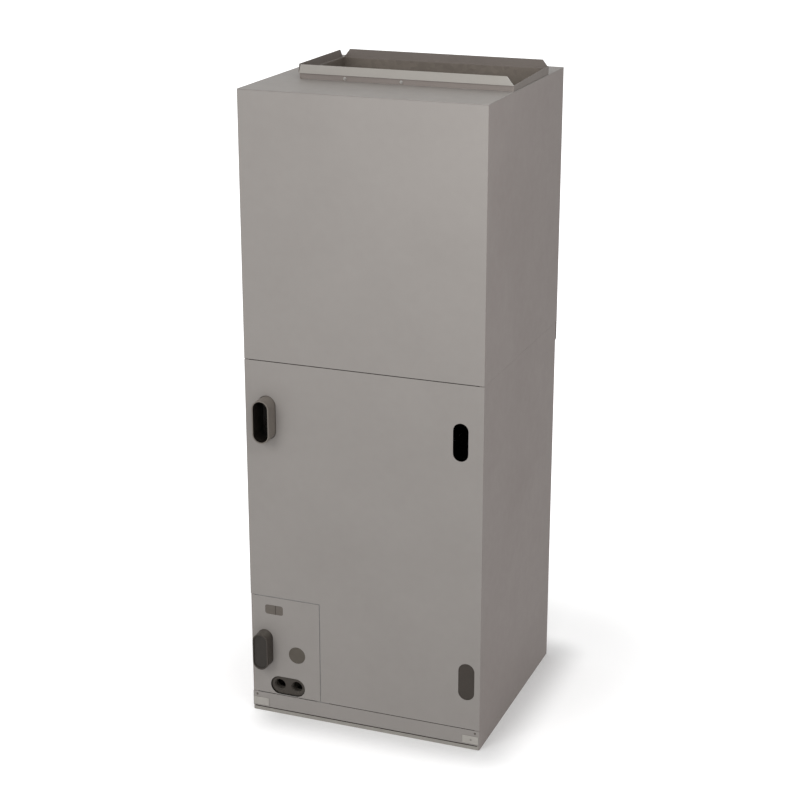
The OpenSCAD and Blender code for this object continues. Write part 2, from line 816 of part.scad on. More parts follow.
module filter_frame() color("tan") difference() {
    span([-filter_w / 2, filter_y0, filter_z0], [filter_w / 2, filter_y0 + filter_d, filter_z0 + filter_t]);
    span([-filter_w / 2 + card_t, filter_y0 + card_t, filter_z0 - over], [filter_w / 2 - card_t, filter_y0 + filter_d - card_t, filter_z0 + filter_t + over]);
}

module filter_media() color("whitesmoke") {
    media_t = 1.5;
    fold_h = filter_t - 3 * media_t;
    half = filter_w / 2 - card_t - seat;
    xs = row(-half, half, 2 * pleats + 1);
    lows = [for (i = [0 : 2 * pleats]) [xs[i], (i % 2) * fold_h]];
    highs = [for (i = [2 * pleats : -1 : 0]) [xs[i], (i % 2) * fold_h + media_t]];
    y0 = filter_y0 + card_t + seat;
    y1 = filter_y0 + filter_d - card_t - seat;
    translate([0, 0, filter_z0 + media_t]) facing_front(y0, y1) polygon(concat(lows, highs));
}

door_z0 = base_h + panel_gap / 2;
door_z1 = panel_z - panel_gap;
door_fold = 9;

module filter_door() color("darkgray") {
    span([-half_w, front_y, door_z0], [half_w, panel_back_y, door_z1]);
    for (z = [base_h + sheet + seat, header_z - sheet - seat]) {
        span([-rail_x + rail_lip, panel_back_y - sheet / 2, z], [rail_x - rail_lip, panel_back_y + door_fold, z + sheet]);
    }
}

clip_w = 36;
clip_h = 18;
clip_t = 1.2;
clip_side = 20;
clip_rise = 4;
clip_z = base_h + clip_rise;
// Hole in the right clip, off its middle
clip_hole_shift = 1;
clip_hole_share = 0.25;

module filter_door_clips() color("white") {
    for (side = [-1, 1]) {
        cx = side * (half_w - clip_side);
        difference() {
            span([cx - clip_w / 2, front_y - clip_t, clip_z], [cx + clip_w / 2, front_y, clip_z + clip_h]);
            if (side > 0) translate([cx + clip_hole_shift, front_y, clip_z + clip_h / 2]) rotate([90, 0, 0])
                cylinder(h = 3 * clip_t, d = clip_h * clip_hole_share, center = true);
        }
    }
}

door_screw_in = 10;
door_screw_drop = 4;
door_screw_x = half_w - door_screw_in;
door_screw_z = header_z - door_screw_drop;
small_head_d = 5;

module filter_door_screws() color("white") {
    for (side = [-1, 1]) translate([side * door_screw_x, front_y, door_screw_z]) rotate([90, 0, 0]) screw_head(small_head_d, head_t / 2);
}

/* Refrigerant lines */

// Distance of the suction header in front of the coil, and of its end behind the fitting panel
line_gap = 26;
line_end_gap = 8;
line_y = slab_y0 - plate_t - line_gap - suction_d / 2;
line_end_y = panel_back_y + line_end_gap;

// A pipe from one point to another
module pipe(a, b, d) {
    v = b - a;
    l = norm(v);
    translate(a) rotate([0, acos(v[2] / l), atan2(v[1], v[0])]) cylinder(h = l, d = d);
}

// Diameter of a turn in a pipe, as a share of the pipe's
elbow_share = 1.25;

// A ball at a turn, its pole toward the pipe before it and its seam away from the pipe after it
module elbow(before, at, after, d) {
    v = at - before;
    w = after - at;
    tilt = acos(v[2] / norm(v));
    turn = atan2(v[1], v[0]);
    across = w * [cos(turn) * cos(tilt), sin(turn) * cos(tilt), -sin(tilt)];
    aside = w * [-sin(turn), cos(turn), 0];
    translate(at) rotate([0, tilt, turn]) rotate(atan2(-aside, -across)) sphere(d = d * elbow_share);
}

// A pipe through a list of points, with a ball at each turn
module pipe_run(points, d) {
    for (i = [0 : len(points) - 2]) pipe(points[i], points[i + 1], d);
    for (i = [1 : len(points) - 2]) elbow(points[i - 1], points[i], points[i + 1], d);
}

// Where the suction header runs on the left slab, across it and up it at the plug
header_across = (plug_x - foot_x) * lean_cos + (plug_z - foot_z) * lean_sin;
header_up = (plug_z - foot_z) * lean_cos - (plug_x - foot_x) * lean_sin;

// A place in front of the left slab, in the slab's own directions
function left_point(across, along, y) = let (p = slab_point(across, along)) [-p[0], y, p[1]];

module suction_header() color("peru") {
    // The header ends, and the last tube that leads to it, as shares
    low_share = 0.6;
    top_share = 0.86;
    tube_share = 0.8;
    first = header_up - low_share * suction_d;
    last = slab_l * top_share;
    pipe(left_point(header_across, first, line_y), left_point(header_across, last, line_y), suction_d);
    pipe([-plug_x, line_y, plug_z], [-plug_x, line_end_y, plug_z], suction_d);
    for (k = [4 : 4 : tube_rows * tube_share]) {
        pipe(left_point(header_across, k * row_pitch, line_y), left_point(header_across, k * row_pitch, slab_y0 - plate_t), tube_d);
    }
}

// Middle of the metering valve
valve_left = 40;
valve_x = -valve_left;
valve_rise = 90;
valve_z = knock_z + valve_rise;
valve_d = 24;
valve_h = 28;
// Plane of the liquid line and the feeders, in front of the header
feed_y = line_y - suction_d / 2 - liquid_d / 2 - pass_gap;

module liquid_line() color("peru") {
    // Where the line starts behind the knock-outs, and its last turn under the valve
    start_share = 0.4;
    turn_share = 1.3;
    start_x = -knock_x + knock_w * start_share;
    start_y = panel_back_y + seat + liquid_d / 2;
    pipe_run([
        [start_x, start_y, knock_z],
        [start_x + feed_y - start_y, feed_y, knock_z],
        [valve_x, feed_y, valve_z - turn_share * valve_h],
        [valve_x, feed_y, valve_z - valve_h / 2]], liquid_d);
}

cone_h = 26;
feeder_d = 3.2;

// Expansion valve with the cone that shares the liquid out
module metering_valve() color("goldenrod") translate([valve_x, feed_y, valve_z - valve_h / 2]) {
    side_share = 0.7;
    cylinder(h = valve_h, d = valve_d);
    translate([0, 0, valve_h]) cylinder(h = cone_h, d1 = liquid_d, d2 = valve_d);
    translate([0, 0, valve_h / 2]) rotate([0, 90, 0]) cylinder(h = valve_d, d = valve_d * side_share);
}

// Thin feeder tubes from the cone to the slabs
module feeder_tubes() color("peru") {
    pitch = valve_d / 5;
    // Where the feeders enter the slabs, up their slope
    first_share = 0.56;
    step_share = 0.1;
    top_z = valve_z + valve_h / 2 + cone_h;
    for (i = [-2 : 2]) {
        rank = 2 - abs(i);
        side = i > 0 ? 1 : -1;
        target = slab_point(0, slab_l * (first_share + step_share * rank));
        pipe_run([
            [valve_x + i * pitch, feed_y, top_z],
            [valve_x + i * pitch, feed_y, top_z + (1 + rank) * valve_d / 2],
            [side * target[0], feed_y, target[1]],
            [side * target[0], slab_y0 - plate_t, target[1]]], feeder_d);
    }
}

/* Blower */

axle_y = front_y + axle_front;
shelf_z = deck_z - plenum_h;
wheel_r = wheel_d / 2;
scroll_sheet = 1;
cutoff_gap = 12;
// How far the scroll opens from the cut-off to the outlet
scroll_growth = 56;
neck_rise = 17;
scroll_r0 = wheel_r + cutoff_gap;
scroll_r1 = scroll_r0 + scroll_growth;
side_gap = 10;
housing_x = wheel_w / 2 + side_gap;
axle_z = shelf_z - neck_rise - scroll_r1;
// Where the scroll starts and ends, in degrees from the back, turning over the front
scroll_from = 90;
scroll_to = 360;
scroll_steps = 36;

// Radius of the scroll at an angle
function scroll_r(a, inset) = scroll_r0 + (scroll_r1 - scroll_r0) * (a - scroll_from) / (scroll_to - scroll_from) - inset;

function scroll_points(inset) = [for (i = [0 : scroll_steps])
    let (a = scroll_from + (scroll_to - scroll_from) * i / scroll_steps)
    [scroll_r(a, inset) * cos(a), scroll_r(a, inset) * sin(a)]];

// Outline of the air passage in the side view, from the axle
module scroll_outline(inset, top) {
    polygon(concat([[inset, top]], scroll_points(inset), [[scroll_r1 - inset, top]]));
}

neck_h = shelf_z - axle_z;
outlet_y0 = axle_y;
outlet_y1 = axle_y + scroll_r1;

module blower_scroll() color("silver") translate([0, axle_y, axle_z]) difference() {
    facing_side(-housing_x, housing_x) scroll_outline(0, neck_h);
    facing_side(-housing_x - over, housing_x + over) scroll_outline(scroll_sheet, neck_h + over);
}

inlet_share = 0.84;
inlet_r = wheel_r * inlet_share;
// Width of the inlet ring, and how far it stands out with the plate
ring_w = 6;
ring_t = 5;

// Flange along the top of each side plate, which hangs in the rails
hang_w = 14;
hang_drop = 6;

module blower_side_plates() color("silver") both_sides() {
    translate([0, axle_y, axle_z]) facing_side(housing_x, housing_x + scroll_sheet) difference() {
        scroll_outline(0, neck_h);
        circle(inlet_r);
    }
    translate([0, axle_y, axle_z]) facing_side(housing_x + scroll_sheet, housing_x + ring_t) difference() {
        circle(inlet_r + ring_w);
        circle(inlet_r);
    }
    span([housing_x, outlet_y0, shelf_z - hang_drop], [housing_x + hang_w, outlet_y1, shelf_z - hang_drop + scroll_sheet]);
}

rail_clear = 4;
hang_rail_x = housing_x + hang_w + rail_clear;

module blower_rails() color("silver") both_sides() {
    front_run = 60;
    back_run = 10;
    under = 8;
    y0 = outlet_y0 - front_run;
    y1 = outlet_y1 + back_run;
    lip_z = shelf_z - hang_drop - seat - sheet;
    span([hang_rail_x, y0, lip_z], [hang_rail_x + sheet, y1, shelf_z]);
    span([housing_x + under, y0, lip_z], [hang_rail_x, y1, lip_z + sheet]);
}

module blower_shelf() color("silver") difference() {
    span([-inner_x, panel_back_y + return_d + pass_gap, shelf_z], [inner_x, up_back_y - sheet, shelf_z + sheet]);
    span([-housing_x, outlet_y0 + scroll_sheet, shelf_z - over], [housing_x, outlet_y1 - scroll_sheet, shelf_z + sheet + over]);
}

blade_in_share = 0.86;
blade_t = 1;

// A forward curved blade, thin and bent once
module blade_outline() {
    r0 = wheel_r * blade_in_share;
    tip_in = 1;
    r1 = wheel_r - tip_in;
    mid = (r0 + r1) / 2;
    bow = 2.4;
    polygon([
        [r0, 0], [mid, bow], [r1, bow * 3],
        [r1, bow * 3 + blade_t], [mid, bow + blade_t], [r0, blade_t]]);
}

module blower_wheel() color("silver") translate([0, axle_y, axle_z]) rotate([0, 90, 0]) difference() {
    union() {
        disc_t = 2;
        end_w = 5;
        // How far the end rings stay out of the blades, and the disc reaches into them
        ring_in = 1;
        disc_out = 3;
        r0 = wheel_r * blade_in_share;
        for (i = [0 : blades - 1]) rotate(i * 360 / blades) translate([0, 0, -wheel_w / 2]) linear_extrude(wheel_w) blade_outline();
        for (z = [-wheel_w / 2, wheel_w / 2 - end_w]) translate([0, 0, z]) difference() {
            cylinder(h = end_w, r = wheel_r);
            translate([0, 0, -over]) cylinder(h = end_w + 2 * over, r = r0 + ring_in);
        }
        translate([0, 0, wheel_disc_x]) cylinder(h = disc_t, r = r0 + disc_out);
        translate([0, 0, wheel_disc_x - hub_l / 2]) cylinder(h = hub_l, d = 3 * shaft_d);
    }
    translate([0, 0, wheel_disc_x - hub_l]) cylinder(h = 2 * hub_l, d = shaft_d);
}

wheel_disc_x = -22;
hub_l = 30;
motor_x0 = 8;
// Depth of the shaft in the motor, as a share of the motor's length
shaft_share = 0.8;
shaft_in = motor_x0 + motor_l * shaft_share;

module motor_shaft() color("silver") {
    translate([wheel_disc_x - hub_l, axle_y, axle_z]) rotate([0, 90, 0])
        cylinder(h = shaft_in - wheel_disc_x + hub_l, d = shaft_d);
}

// How far the bearing stands out of the motor
bearing_out = 6;

module blower_motor() color("#2f2f2f") translate([motor_x0, axle_y, axle_z]) rotate([0, 90, 0]) difference() {
    union() {
        bell = 10;
        bell_share = 0.86;
        translate([0, 0, bell]) cylinder(h = motor_l - 2 * bell, d = motor_d);
        cylinder(h = motor_l, d = motor_d * bell_share);
        translate([0, 0, -bearing_out]) cylinder(h = bell, d = 4 * shaft_d);
    }
    translate([0, 0, -bearing_out - over]) cylinder(h = motor_l * shaft_share + bearing_out + 3 * over, d = shaft_d + 2 * shaft_clear);
}

band_w = 22;
arm_w = 14;
arm_t = 3;
band_x = housing_x + ring_t;

// Belly band around the motor with three arms to the side plate
module motor_mount() color("silver") translate([0, axle_y, axle_z]) rotate([0, 90, 0]) {
    translate([0, 0, band_x - band_w + arm_t]) difference() {
        cylinder(h = band_w, d = motor_d + 2 * arm_t);
        translate([0, 0, -over]) cylinder(h = band_w + 2 * over, d = motor_d);
    }
    for (a = [30, 150, 270]) rotate(a) translate([motor_d / 2 + arm_t / 2, -arm_w / 2, band_x])
        cube([inlet_r + ring_t - motor_d / 2, arm_w, arm_t]);
}

capacitor_d = 42;
capacitor_h = 70;
// Place of the capacitor's foot from the axle, backward and down
capacitor_back = 95;
capacitor_drop = 160;

module capacitor() color("lightgray")
    translate([-housing_x - scroll_sheet - capacitor_d / 2 - seat, axle_y + capacitor_back, axle_z - capacitor_drop])
    cylinder(h = capacitor_h, d = capacitor_d);

/* Plenum above the shelf and the controls in front of it */

module supply_throat() color("#8a8178") {
    top = total_h + web_h - sheet - seat;
    z0 = shelf_z + sheet;
    heater_w = 200;
    heater_h = 70;
    sill = 14;
    difference() {
        span([throat_x0, throat_y0, z0], [throat_x1, throat_y1, top]);
        span([throat_x0 + sheet, throat_y0 + sheet, z0 - over], [throat_x1 - sheet, throat_y1 - sheet, top + over]);
        span([-heater_w / 2, throat_y0 - over, z0 + sill], [heater_w / 2, throat_y0 + 2 * sheet, z0 + sill + heater_h]);
        for (s = front_screw_shares) translate([collar_x0 + s * collar_l, throat_y0 - over, collar_screw_z])
            rotate([-90, 0, 0]) cylinder(h = 3 * over + sheet, r = collar_screw_r);
    }
}

heater_plate_w = 224;
heater_plate_h = 92;

module heater_cover_plate() color("silver") {
    plate_rise = 3;
    z0 = shelf_z + sheet + plate_rise;
    span([-heater_plate_w / 2, throat_y0 - sheet, z0], [heater_plate_w / 2, throat_y0, z0 + heater_plate_h]);
}

box_w = 300;
box_d = 78;
box_h = 96;
// How far the box is set to the right, and in front of the cover plate
box_shift = 40;
box_gap = 5;
box_x0 = -box_w / 2 + box_shift;
box_y1 = throat_y0 - 2 * sheet - box_gap;

module control_box() color("silver") {
    z0 = shelf_z + sheet;
    difference() {
        span([box_x0, box_y1 - box_d, z0], [box_x0 + box_w, box_y1, z0 + box_h]);
        span([box_x0 + sheet, box_y1 - box_d - over, z0 + sheet], [box_x0 + box_w - sheet, box_y1 - sheet, z0 + box_h - sheet]);
    }
}

module transformer() color("#4a4a52") {
    core_w = 62;
    core_d = 44;
    core_h = 54;
    coil_in = 10;
    coil_out = 6;
    box_in = 22;
    x0 = box_x0 + box_in;
    y1 = box_y1 - sheet;
    z0 = shelf_z + 2 * sheet;
    span([x0, y1 - core_d, z0], [x0 + core_w, y1, z0 + core_h]);
    span([x0 + coil_in, y1 - core_d - coil_out, z0 + coil_in], [x0 + core_w - coil_in, y1 - core_d, z0 + core_h - coil_in]);
}

module control_board() color("#2d6b3c") {
    board_w = 130;
    board_h = 74;
    board_t = 2;
    standoff = 8;
    post_d = 6;
    box_in = 18;
    relay_w = 24;
    relay_d = 18;
    relay_h = 26;
    relay_rise = 30;
    relay_first = 16;
    relay_pitch = 36;
    x0 = box_x0 + box_w - board_w - box_in;
    back = box_y1 - sheet - standoff;
    z0 = shelf_z + 2 * sheet + standoff;
    span([x0, back - board_t, z0], [x0 + board_w, back, z0 + board_h]);
    for (dx = [post_d, board_w - post_d], dz = [post_d, board_h - post_d])
        translate([x0 + dx, back, z0 + dz]) rotate([-90, 0, 0]) cylinder(h = standoff, d = post_d);
    for (i = [0 : 2]) {
        x = x0 + relay_first + i * relay_pitch;
        span([x, back - board_t - relay_d, z0 + relay_rise], [x + relay_w, back - board_t, z0 + relay_rise + relay_h]);
    }
}

module motor_lead() color("#202020") {
    lead_d = 8;
    lead_out = 22;
    // Heights of the lead's turns above the axle, as shares of the motor's diameter
    low_share = 0.25;
    high_share = 0.5;
    x = hang_rail_x + lead_out;
    y = box_y1 - box_d / 2;
    pipe_run([
        [motor_x0 + motor_l, axle_y, axle_z + motor_d * low_share],
        [x, axle_y, axle_z + motor_d * low_share],
        [x, y, axle_z + motor_d * high_share],
        [x, y, shelf_z]], lead_d);
}

base_frame();
lower_casing();
upper_casing();
top_deck();
supply_flange_front();
supply_flange_back();
supply_flange_left();
supply_flange_right();
flange_screws();
joiner_bracket();
joiner_screws();
seam_cross_rail();
filter_header();
fitting_panel_frame();
lower_liner();
upper_liner();
upper_access_panel();
upper_panel_liner();
coil_access_panel();
coil_panel_liner();
fitting_panel();
suction_plug();
knockout_plates();
right_slot_cap();
lower_drain_plug();
horizontal_drain_pan();
upflow_drain_pan();
filter_rails();
filter_frame();
filter_media();
filter_door();
filter_door_clips();
filter_door_screws();
coil_fins_left();
coil_fins_right();
coil_tube_plates();
return_bends();
coil_baffles();
coil_apex_cap();
suction_header();
liquid_line();
metering_valve();
feeder_tubes();
blower_scroll();
blower_side_plates();
blower_shelf();
blower_rails();
blower_wheel();
motor_shaft();
blower_motor();
motor_mount();
capacitor();
supply_throat();
heater_cover_plate();
control_box();
transformer();
control_board();
motor_lead();
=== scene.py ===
"""Looks of an upright ducted air handler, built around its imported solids."""

import logging
import math
from collections.abc import Callable, Sequence
from dataclasses import dataclass, replace
from enum import Enum

import bmesh
import bpy
from mathutils import Matrix, Vector


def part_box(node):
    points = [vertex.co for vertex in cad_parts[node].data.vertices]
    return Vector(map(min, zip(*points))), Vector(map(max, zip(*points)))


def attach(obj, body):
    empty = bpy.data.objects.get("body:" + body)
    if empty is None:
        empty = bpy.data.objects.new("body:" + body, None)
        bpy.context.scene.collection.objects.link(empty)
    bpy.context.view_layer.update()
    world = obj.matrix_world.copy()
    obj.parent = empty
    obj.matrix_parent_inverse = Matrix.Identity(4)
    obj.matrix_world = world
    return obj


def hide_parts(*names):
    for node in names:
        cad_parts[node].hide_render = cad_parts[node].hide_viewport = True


Loop = list[tuple[float, float]]
Triple = tuple[float, float, float]
Place = tuple[Vector, Triple]
Mesh = bpy.types.Mesh
Node = bpy.types.Node
Object = bpy.types.Object
Socket = bpy.types.NodeSocket
Inputs = dict[str | int, object]
Test = Callable[[Vector, Vector], bool]

LOG = logging.getLogger("air_handler")
# Distances below which two points are one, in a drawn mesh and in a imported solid.
DRAWN_MERGE = 1e-6
PACKED_MERGE = 2e-6

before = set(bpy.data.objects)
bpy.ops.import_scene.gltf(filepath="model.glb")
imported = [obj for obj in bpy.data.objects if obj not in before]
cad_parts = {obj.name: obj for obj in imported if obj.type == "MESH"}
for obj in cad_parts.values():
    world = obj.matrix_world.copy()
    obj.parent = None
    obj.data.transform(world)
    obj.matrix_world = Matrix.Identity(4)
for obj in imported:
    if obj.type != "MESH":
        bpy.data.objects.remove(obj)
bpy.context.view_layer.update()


def shade(colour: Sequence[int]) -> Triple:
    """Turns a screen colour, 0 to 255, into the linear one that a shader takes."""
    parts = [value / 255 for value in colour]
    return tuple(part / 12.92 if part <= 0.04045 else ((part + 0.055) / 1.055) ** 2.4 for part in parts)


def socket_type(value: object) -> str:
    """Names the socket for a number, a vector or a colour."""
    if isinstance(value, float):
        return "NodeSocketFloat"
    return "NodeSocketVector" if len(value) == 3 else "NodeSocketColor"


class Wires:
    """A short way to add, set and join nodes in one tree."""

    def __init__(self, tree: bpy.types.NodeTree) -> None:
        """Keeps the tree."""
        self.tree = tree

    def add(self, kind: str, inputs: Inputs | None = None, **settings: object) -> Node:
        """Adds a node.

        Args:
            kind: The node's type name.
            inputs: What goes into its inputs, by their names or numbers.
            **settings: Properties to set on it first.

        Returns:
            The new node.
        """
        node = self.tree.nodes.new(kind)
        for name, value in settings.items():
            setattr(node, name, value)
        self.fill(node, inputs or {})
        return node

    def fill(self, node: Node, inputs: Inputs) -> None:
        """Joins or sets the inputs of a node, given by their names or numbers."""
        for label, value in inputs.items():
            self.put(node.inputs[label], value)

    def put(self, socket: Socket, value: object) -> None:
        """Joins a socket to another, or sets its value.

        Args:
            socket: The input socket.
            value: An output socket, a number, a vector or a colour.
        """
        if isinstance(value, Socket):
            self.tree.links.new(value, socket)
        elif isinstance(socket, bpy.types.NodeSocketColor) and len(value) == 3:
            socket.default_value = (*value, 1.0)
        else:
            socket.default_value = value

    def calc(self, operation: str, first: object, second: object = 0.0, clamp: bool = False) -> Socket:
        """Adds a math node.

        Args:
            operation: The math operation.
            first: The first input.
            second: The second input.
            clamp: Whether the result stays from 0 to 1.

        Returns:
            Its output.
        """
        node = self.add("ShaderNodeMath", {0: first, 1: second}, operation=operation, use_clamp=clamp)
        return node.outputs[0]

    def times(self, first: object, second: object) -> Socket:
        """Multiplies two values."""
        return self.calc("MULTIPLY", first, second)

    def vectors(self, operation: str, *values: object) -> Socket:
        """Adds a vector math node.

        Args:
            operation: The operation, which gives a vector.
            *values: Its inputs in order.

        Returns:
            Its output.
        """
        return self.add("ShaderNodeVectorMath", dict(enumerate(values)), operation=operation).outputs[0]

    def blend(self, amount: object, first: object, second: object) -> Socket:
        """Adds a colour mix.

        Args:
            amount: How much of the second colour shows.
            first: The first colour.
            second: The second colour.

        Returns:
            The mixed colour.
        """
        node = self.add("ShaderNodeMix", {"Factor": amount, 6: first, 7: second}, data_type="RGBA")
        return node.outputs[2]

    def ramp(self, value: object, low: float, high: float) -> Socket:
        """Stretches a value so that low becomes 0 and high becomes 1, clamped."""
        inputs = {"Value": value, "From Min": low, "From Max": high}
        return self.add("ShaderNodeMapRange", inputs, clamp=True).outputs["Result"]

    def here(self) -> Socket:
        """Gives the coordinates on the object."""
        return self.add("ShaderNodeTexCoord").outputs["Object"]

    def noise(self, scale: object, detail: float = 3.0, rough: float = 0.55,
              place: Socket | None = None) -> Socket:
        """Adds a noise texture.

        Args:
            scale: Its scale.
            detail: Its octaves.
            rough: How much the small octaves show.
            place: The coordinates, or none for those on the object.

        Returns:
            Its value.
        """
        here = self.here() if place is None else place
        inputs = {"Vector": here, "Scale": scale, "Detail": detail, "Roughness": rough}
        return self.add("ShaderNodeTexNoise", inputs).outputs["Fac"]


class ShaderGroups:
    """The effects that several finishes share, each built once."""

    def __init__(self) -> None:
        """Starts with none built."""
        self.built: dict[str, bpy.types.NodeTree] = {}

    def start(self, name: str, outputs: Sequence[str], **inputs: object) -> tuple:
        """Starts a shader group.

        Args:
            name: The group's name.
            outputs: Names of its outputs.
            **inputs: Names of its inputs and their default values.

        Returns:
            The wires, the input sockets and the output sockets inside the group.
        """
        tree = bpy.data.node_groups.new(name, "ShaderNodeTree")
        for label, value in inputs.items():
            made = tree.interface.new_socket(label, in_out="INPUT", socket_type=socket_type(value))
            made.default_value = value
        for label in outputs:
            kind = "NodeSocketColor" if label == "Color" else "NodeSocketFloat"
            tree.interface.new_socket(label, in_out="OUTPUT", socket_type=kind)
        self.built[name] = tree
        wires = Wires(tree)
        return wires, wires.add("NodeGroupInput").outputs, wires.add("NodeGroupOutput").inputs

    def place(self, wires: Wires, build: Callable[[], None], **values: object) -> bpy.types.NodeOutputs:
        """Places a group in a material, building it first if needed.

        Args:
            wires: The material's wires.
            build: The group's builder, which has the group's name.
            **values: Input names and their values.

        Returns:
            The outputs of the group node.
        """
        name = build.__name__
        if name not in self.built:
            build()
        return wires.add("ShaderNodeGroup", values, node_tree=self.built[name]).outputs

    def patchy_tone(self) -> None:
        """Cloudy change between two colours, as on any large painted sheet."""
        wires, ins, outs = self.start("patchy_tone", ("Color", "Mask"), First=(0.5, 0.5, 0.5, 1.0),
                                      Second=(0.4, 0.4, 0.4, 1.0), Scale=4.0, Amount=0.5)
        broad = wires.noise(ins["Scale"], 4.0, 0.6)
        fine = wires.noise(wires.times(ins["Scale"], 9.0))
        both = wires.calc("ADD", wires.times(fine, 0.3), wires.times(broad, 0.7))
        mask = wires.times(wires.ramp(both, 0.35, 0.68), ins["Amount"])
        wires.put(outs["Color"], wires.blend(mask, ins["First"], ins["Second"]))
        wires.put(outs["Mask"], mask)

    def fine_grain(self) -> None:
        """Orange peel of paint or the skin of moulded plastic, as a height."""
        wires, ins, outs = self.start("fine_grain", ("Height",), Scale=900.0, Amount=1.0)
        small = wires.noise(ins["Scale"], 2.0)
        broad = wires.noise(wires.times(ins["Scale"], 0.04), 2.0)
        total = wires.calc("ADD", small, wires.times(broad, 2.0))
        wires.put(outs["Height"], wires.times(total, ins["Amount"]))

    def edge_wear(self) -> None:
        """Mask of rubbed corners and edges, broken up by noise."""
        wires, ins, outs = self.start("edge_wear", ("Mask",), Radius=0.0005, Scale=60.0, Amount=0.6)
        bevel = wires.add("ShaderNodeBevel", {"Radius": ins["Radius"]}, samples=4)
        flat = wires.add("ShaderNodeNewGeometry").outputs["Normal"]
        normals = {0: bevel.outputs["Normal"], 1: flat}
        dot = wires.add("ShaderNodeVectorMath", normals, operation="DOT_PRODUCT")
        edge = wires.ramp(wires.calc("SUBTRACT", 1.0, dot.outputs["Value"]), 0.01, 0.18)
        broken = wires.ramp(wires.noise(ins["Scale"], 5.0, 0.65), 0.38, 0.62)
        wires.put(outs["Mask"], wires.times(edge, wires.times(broken, ins["Amount"])))

    def settled_dust(self) -> None:
        """Mask of dust on faces that look up."""
        wires, ins, outs = self.start("settled_dust", ("Mask",), Scale=30.0, Amount=0.3)
        normal = wires.add("ShaderNodeNewGeometry").outputs["Normal"]
        up = wires.ramp(wires.add("ShaderNodeSeparateXYZ", {0: normal}).outputs["Z"], 0.35, 0.95)
        cloud = wires.ramp(wires.noise(ins["Scale"], 6.0, 0.65), 0.36, 0.7)
        wires.put(outs["Mask"], wires.times(wires.times(up, cloud), ins["Amount"]))

    def zinc_spangle(self) -> None:
        """Crystals of galvanised sheet: a tone for each crystal."""
        wires, ins, outs = self.start("zinc_spangle", ("Mask",), Scale=90.0, Amount=0.5)
        here = wires.here()
        source = wires.add("ShaderNodeTexNoise", {"Vector": here, "Scale": 140.0}).outputs["Color"]
        swirl = wires.add("ShaderNodeVectorMath", {0: source, "Scale": 0.006}, operation="SCALE").outputs[0]
        bent = wires.vectors("ADD", here, swirl)
        cell = wires.add("ShaderNodeTexVoronoi", {"Vector": bent, "Scale": ins["Scale"]}).outputs["Color"]
        tone = wires.add("ShaderNodeSeparateColor", {0: cell}).outputs[0]
        wires.put(outs["Mask"], wires.times(tone, ins["Amount"]))

    def drawn_lines(self) -> None:
        """Fine lines of drawn or brushed metal, stretched along one direction."""
        wires, ins, outs = self.start("drawn_lines", ("Mask",), Stretch=(1.0, 1.0, 1.0), Amount=0.5)
        scaled = wires.vectors("MULTIPLY", wires.here(), ins["Stretch"])
        lines = wires.noise(1.0, 4.0, 0.7, scaled)
        wires.put(outs["Mask"], wires.times(wires.ramp(lines, 0.3, 0.7), ins["Amount"]))

    def matted_fibres(self) -> None:
        """Felted fibres of insulation and filter cloth."""
        wires, ins, outs = self.start("matted_fibres", ("Height", "Mask"), Scale=240.0, Amount=1.0)
        here = wires.here()
        warp = wires.add("ShaderNodeTexNoise", {"Vector": here, "Scale": wires.times(ins["Scale"], 0.2)})
        shifted = wires.vectors("MULTIPLY_ADD", warp.outputs["Color"], (0.02, 0.02, 0.02), here)
        inputs = {"Vector": shifted, "Scale": ins["Scale"]}
        cell = wires.add("ShaderNodeTexVoronoi", inputs, feature="DISTANCE_TO_EDGE")
        strand = wires.ramp(cell.outputs["Distance"], 0.0, 0.22)
        tuft = wires.noise(wires.times(ins["Scale"], 0.35), 5.0, 0.7)
        total = wires.calc("ADD", wires.times(strand, 0.4), tuft)
        wires.put(outs["Height"], wires.times(total, ins["Amount"]))
        wires.put(outs["Mask"], wires.ramp(total, 0.4, 0.95))


GROUPS = ShaderGroups()
MATERIALS: dict[str, bpy.types.Material] = {}
DUST = (176, 170, 160)


class Texture(Enum):
    """What the surface of a finish is like from close by."""

    PAINT = "paint"
    SPANGLE = "spangle"
    DRAWN = "drawn"
    MOULDED = "moulded"
    FIBRE = "fibre"


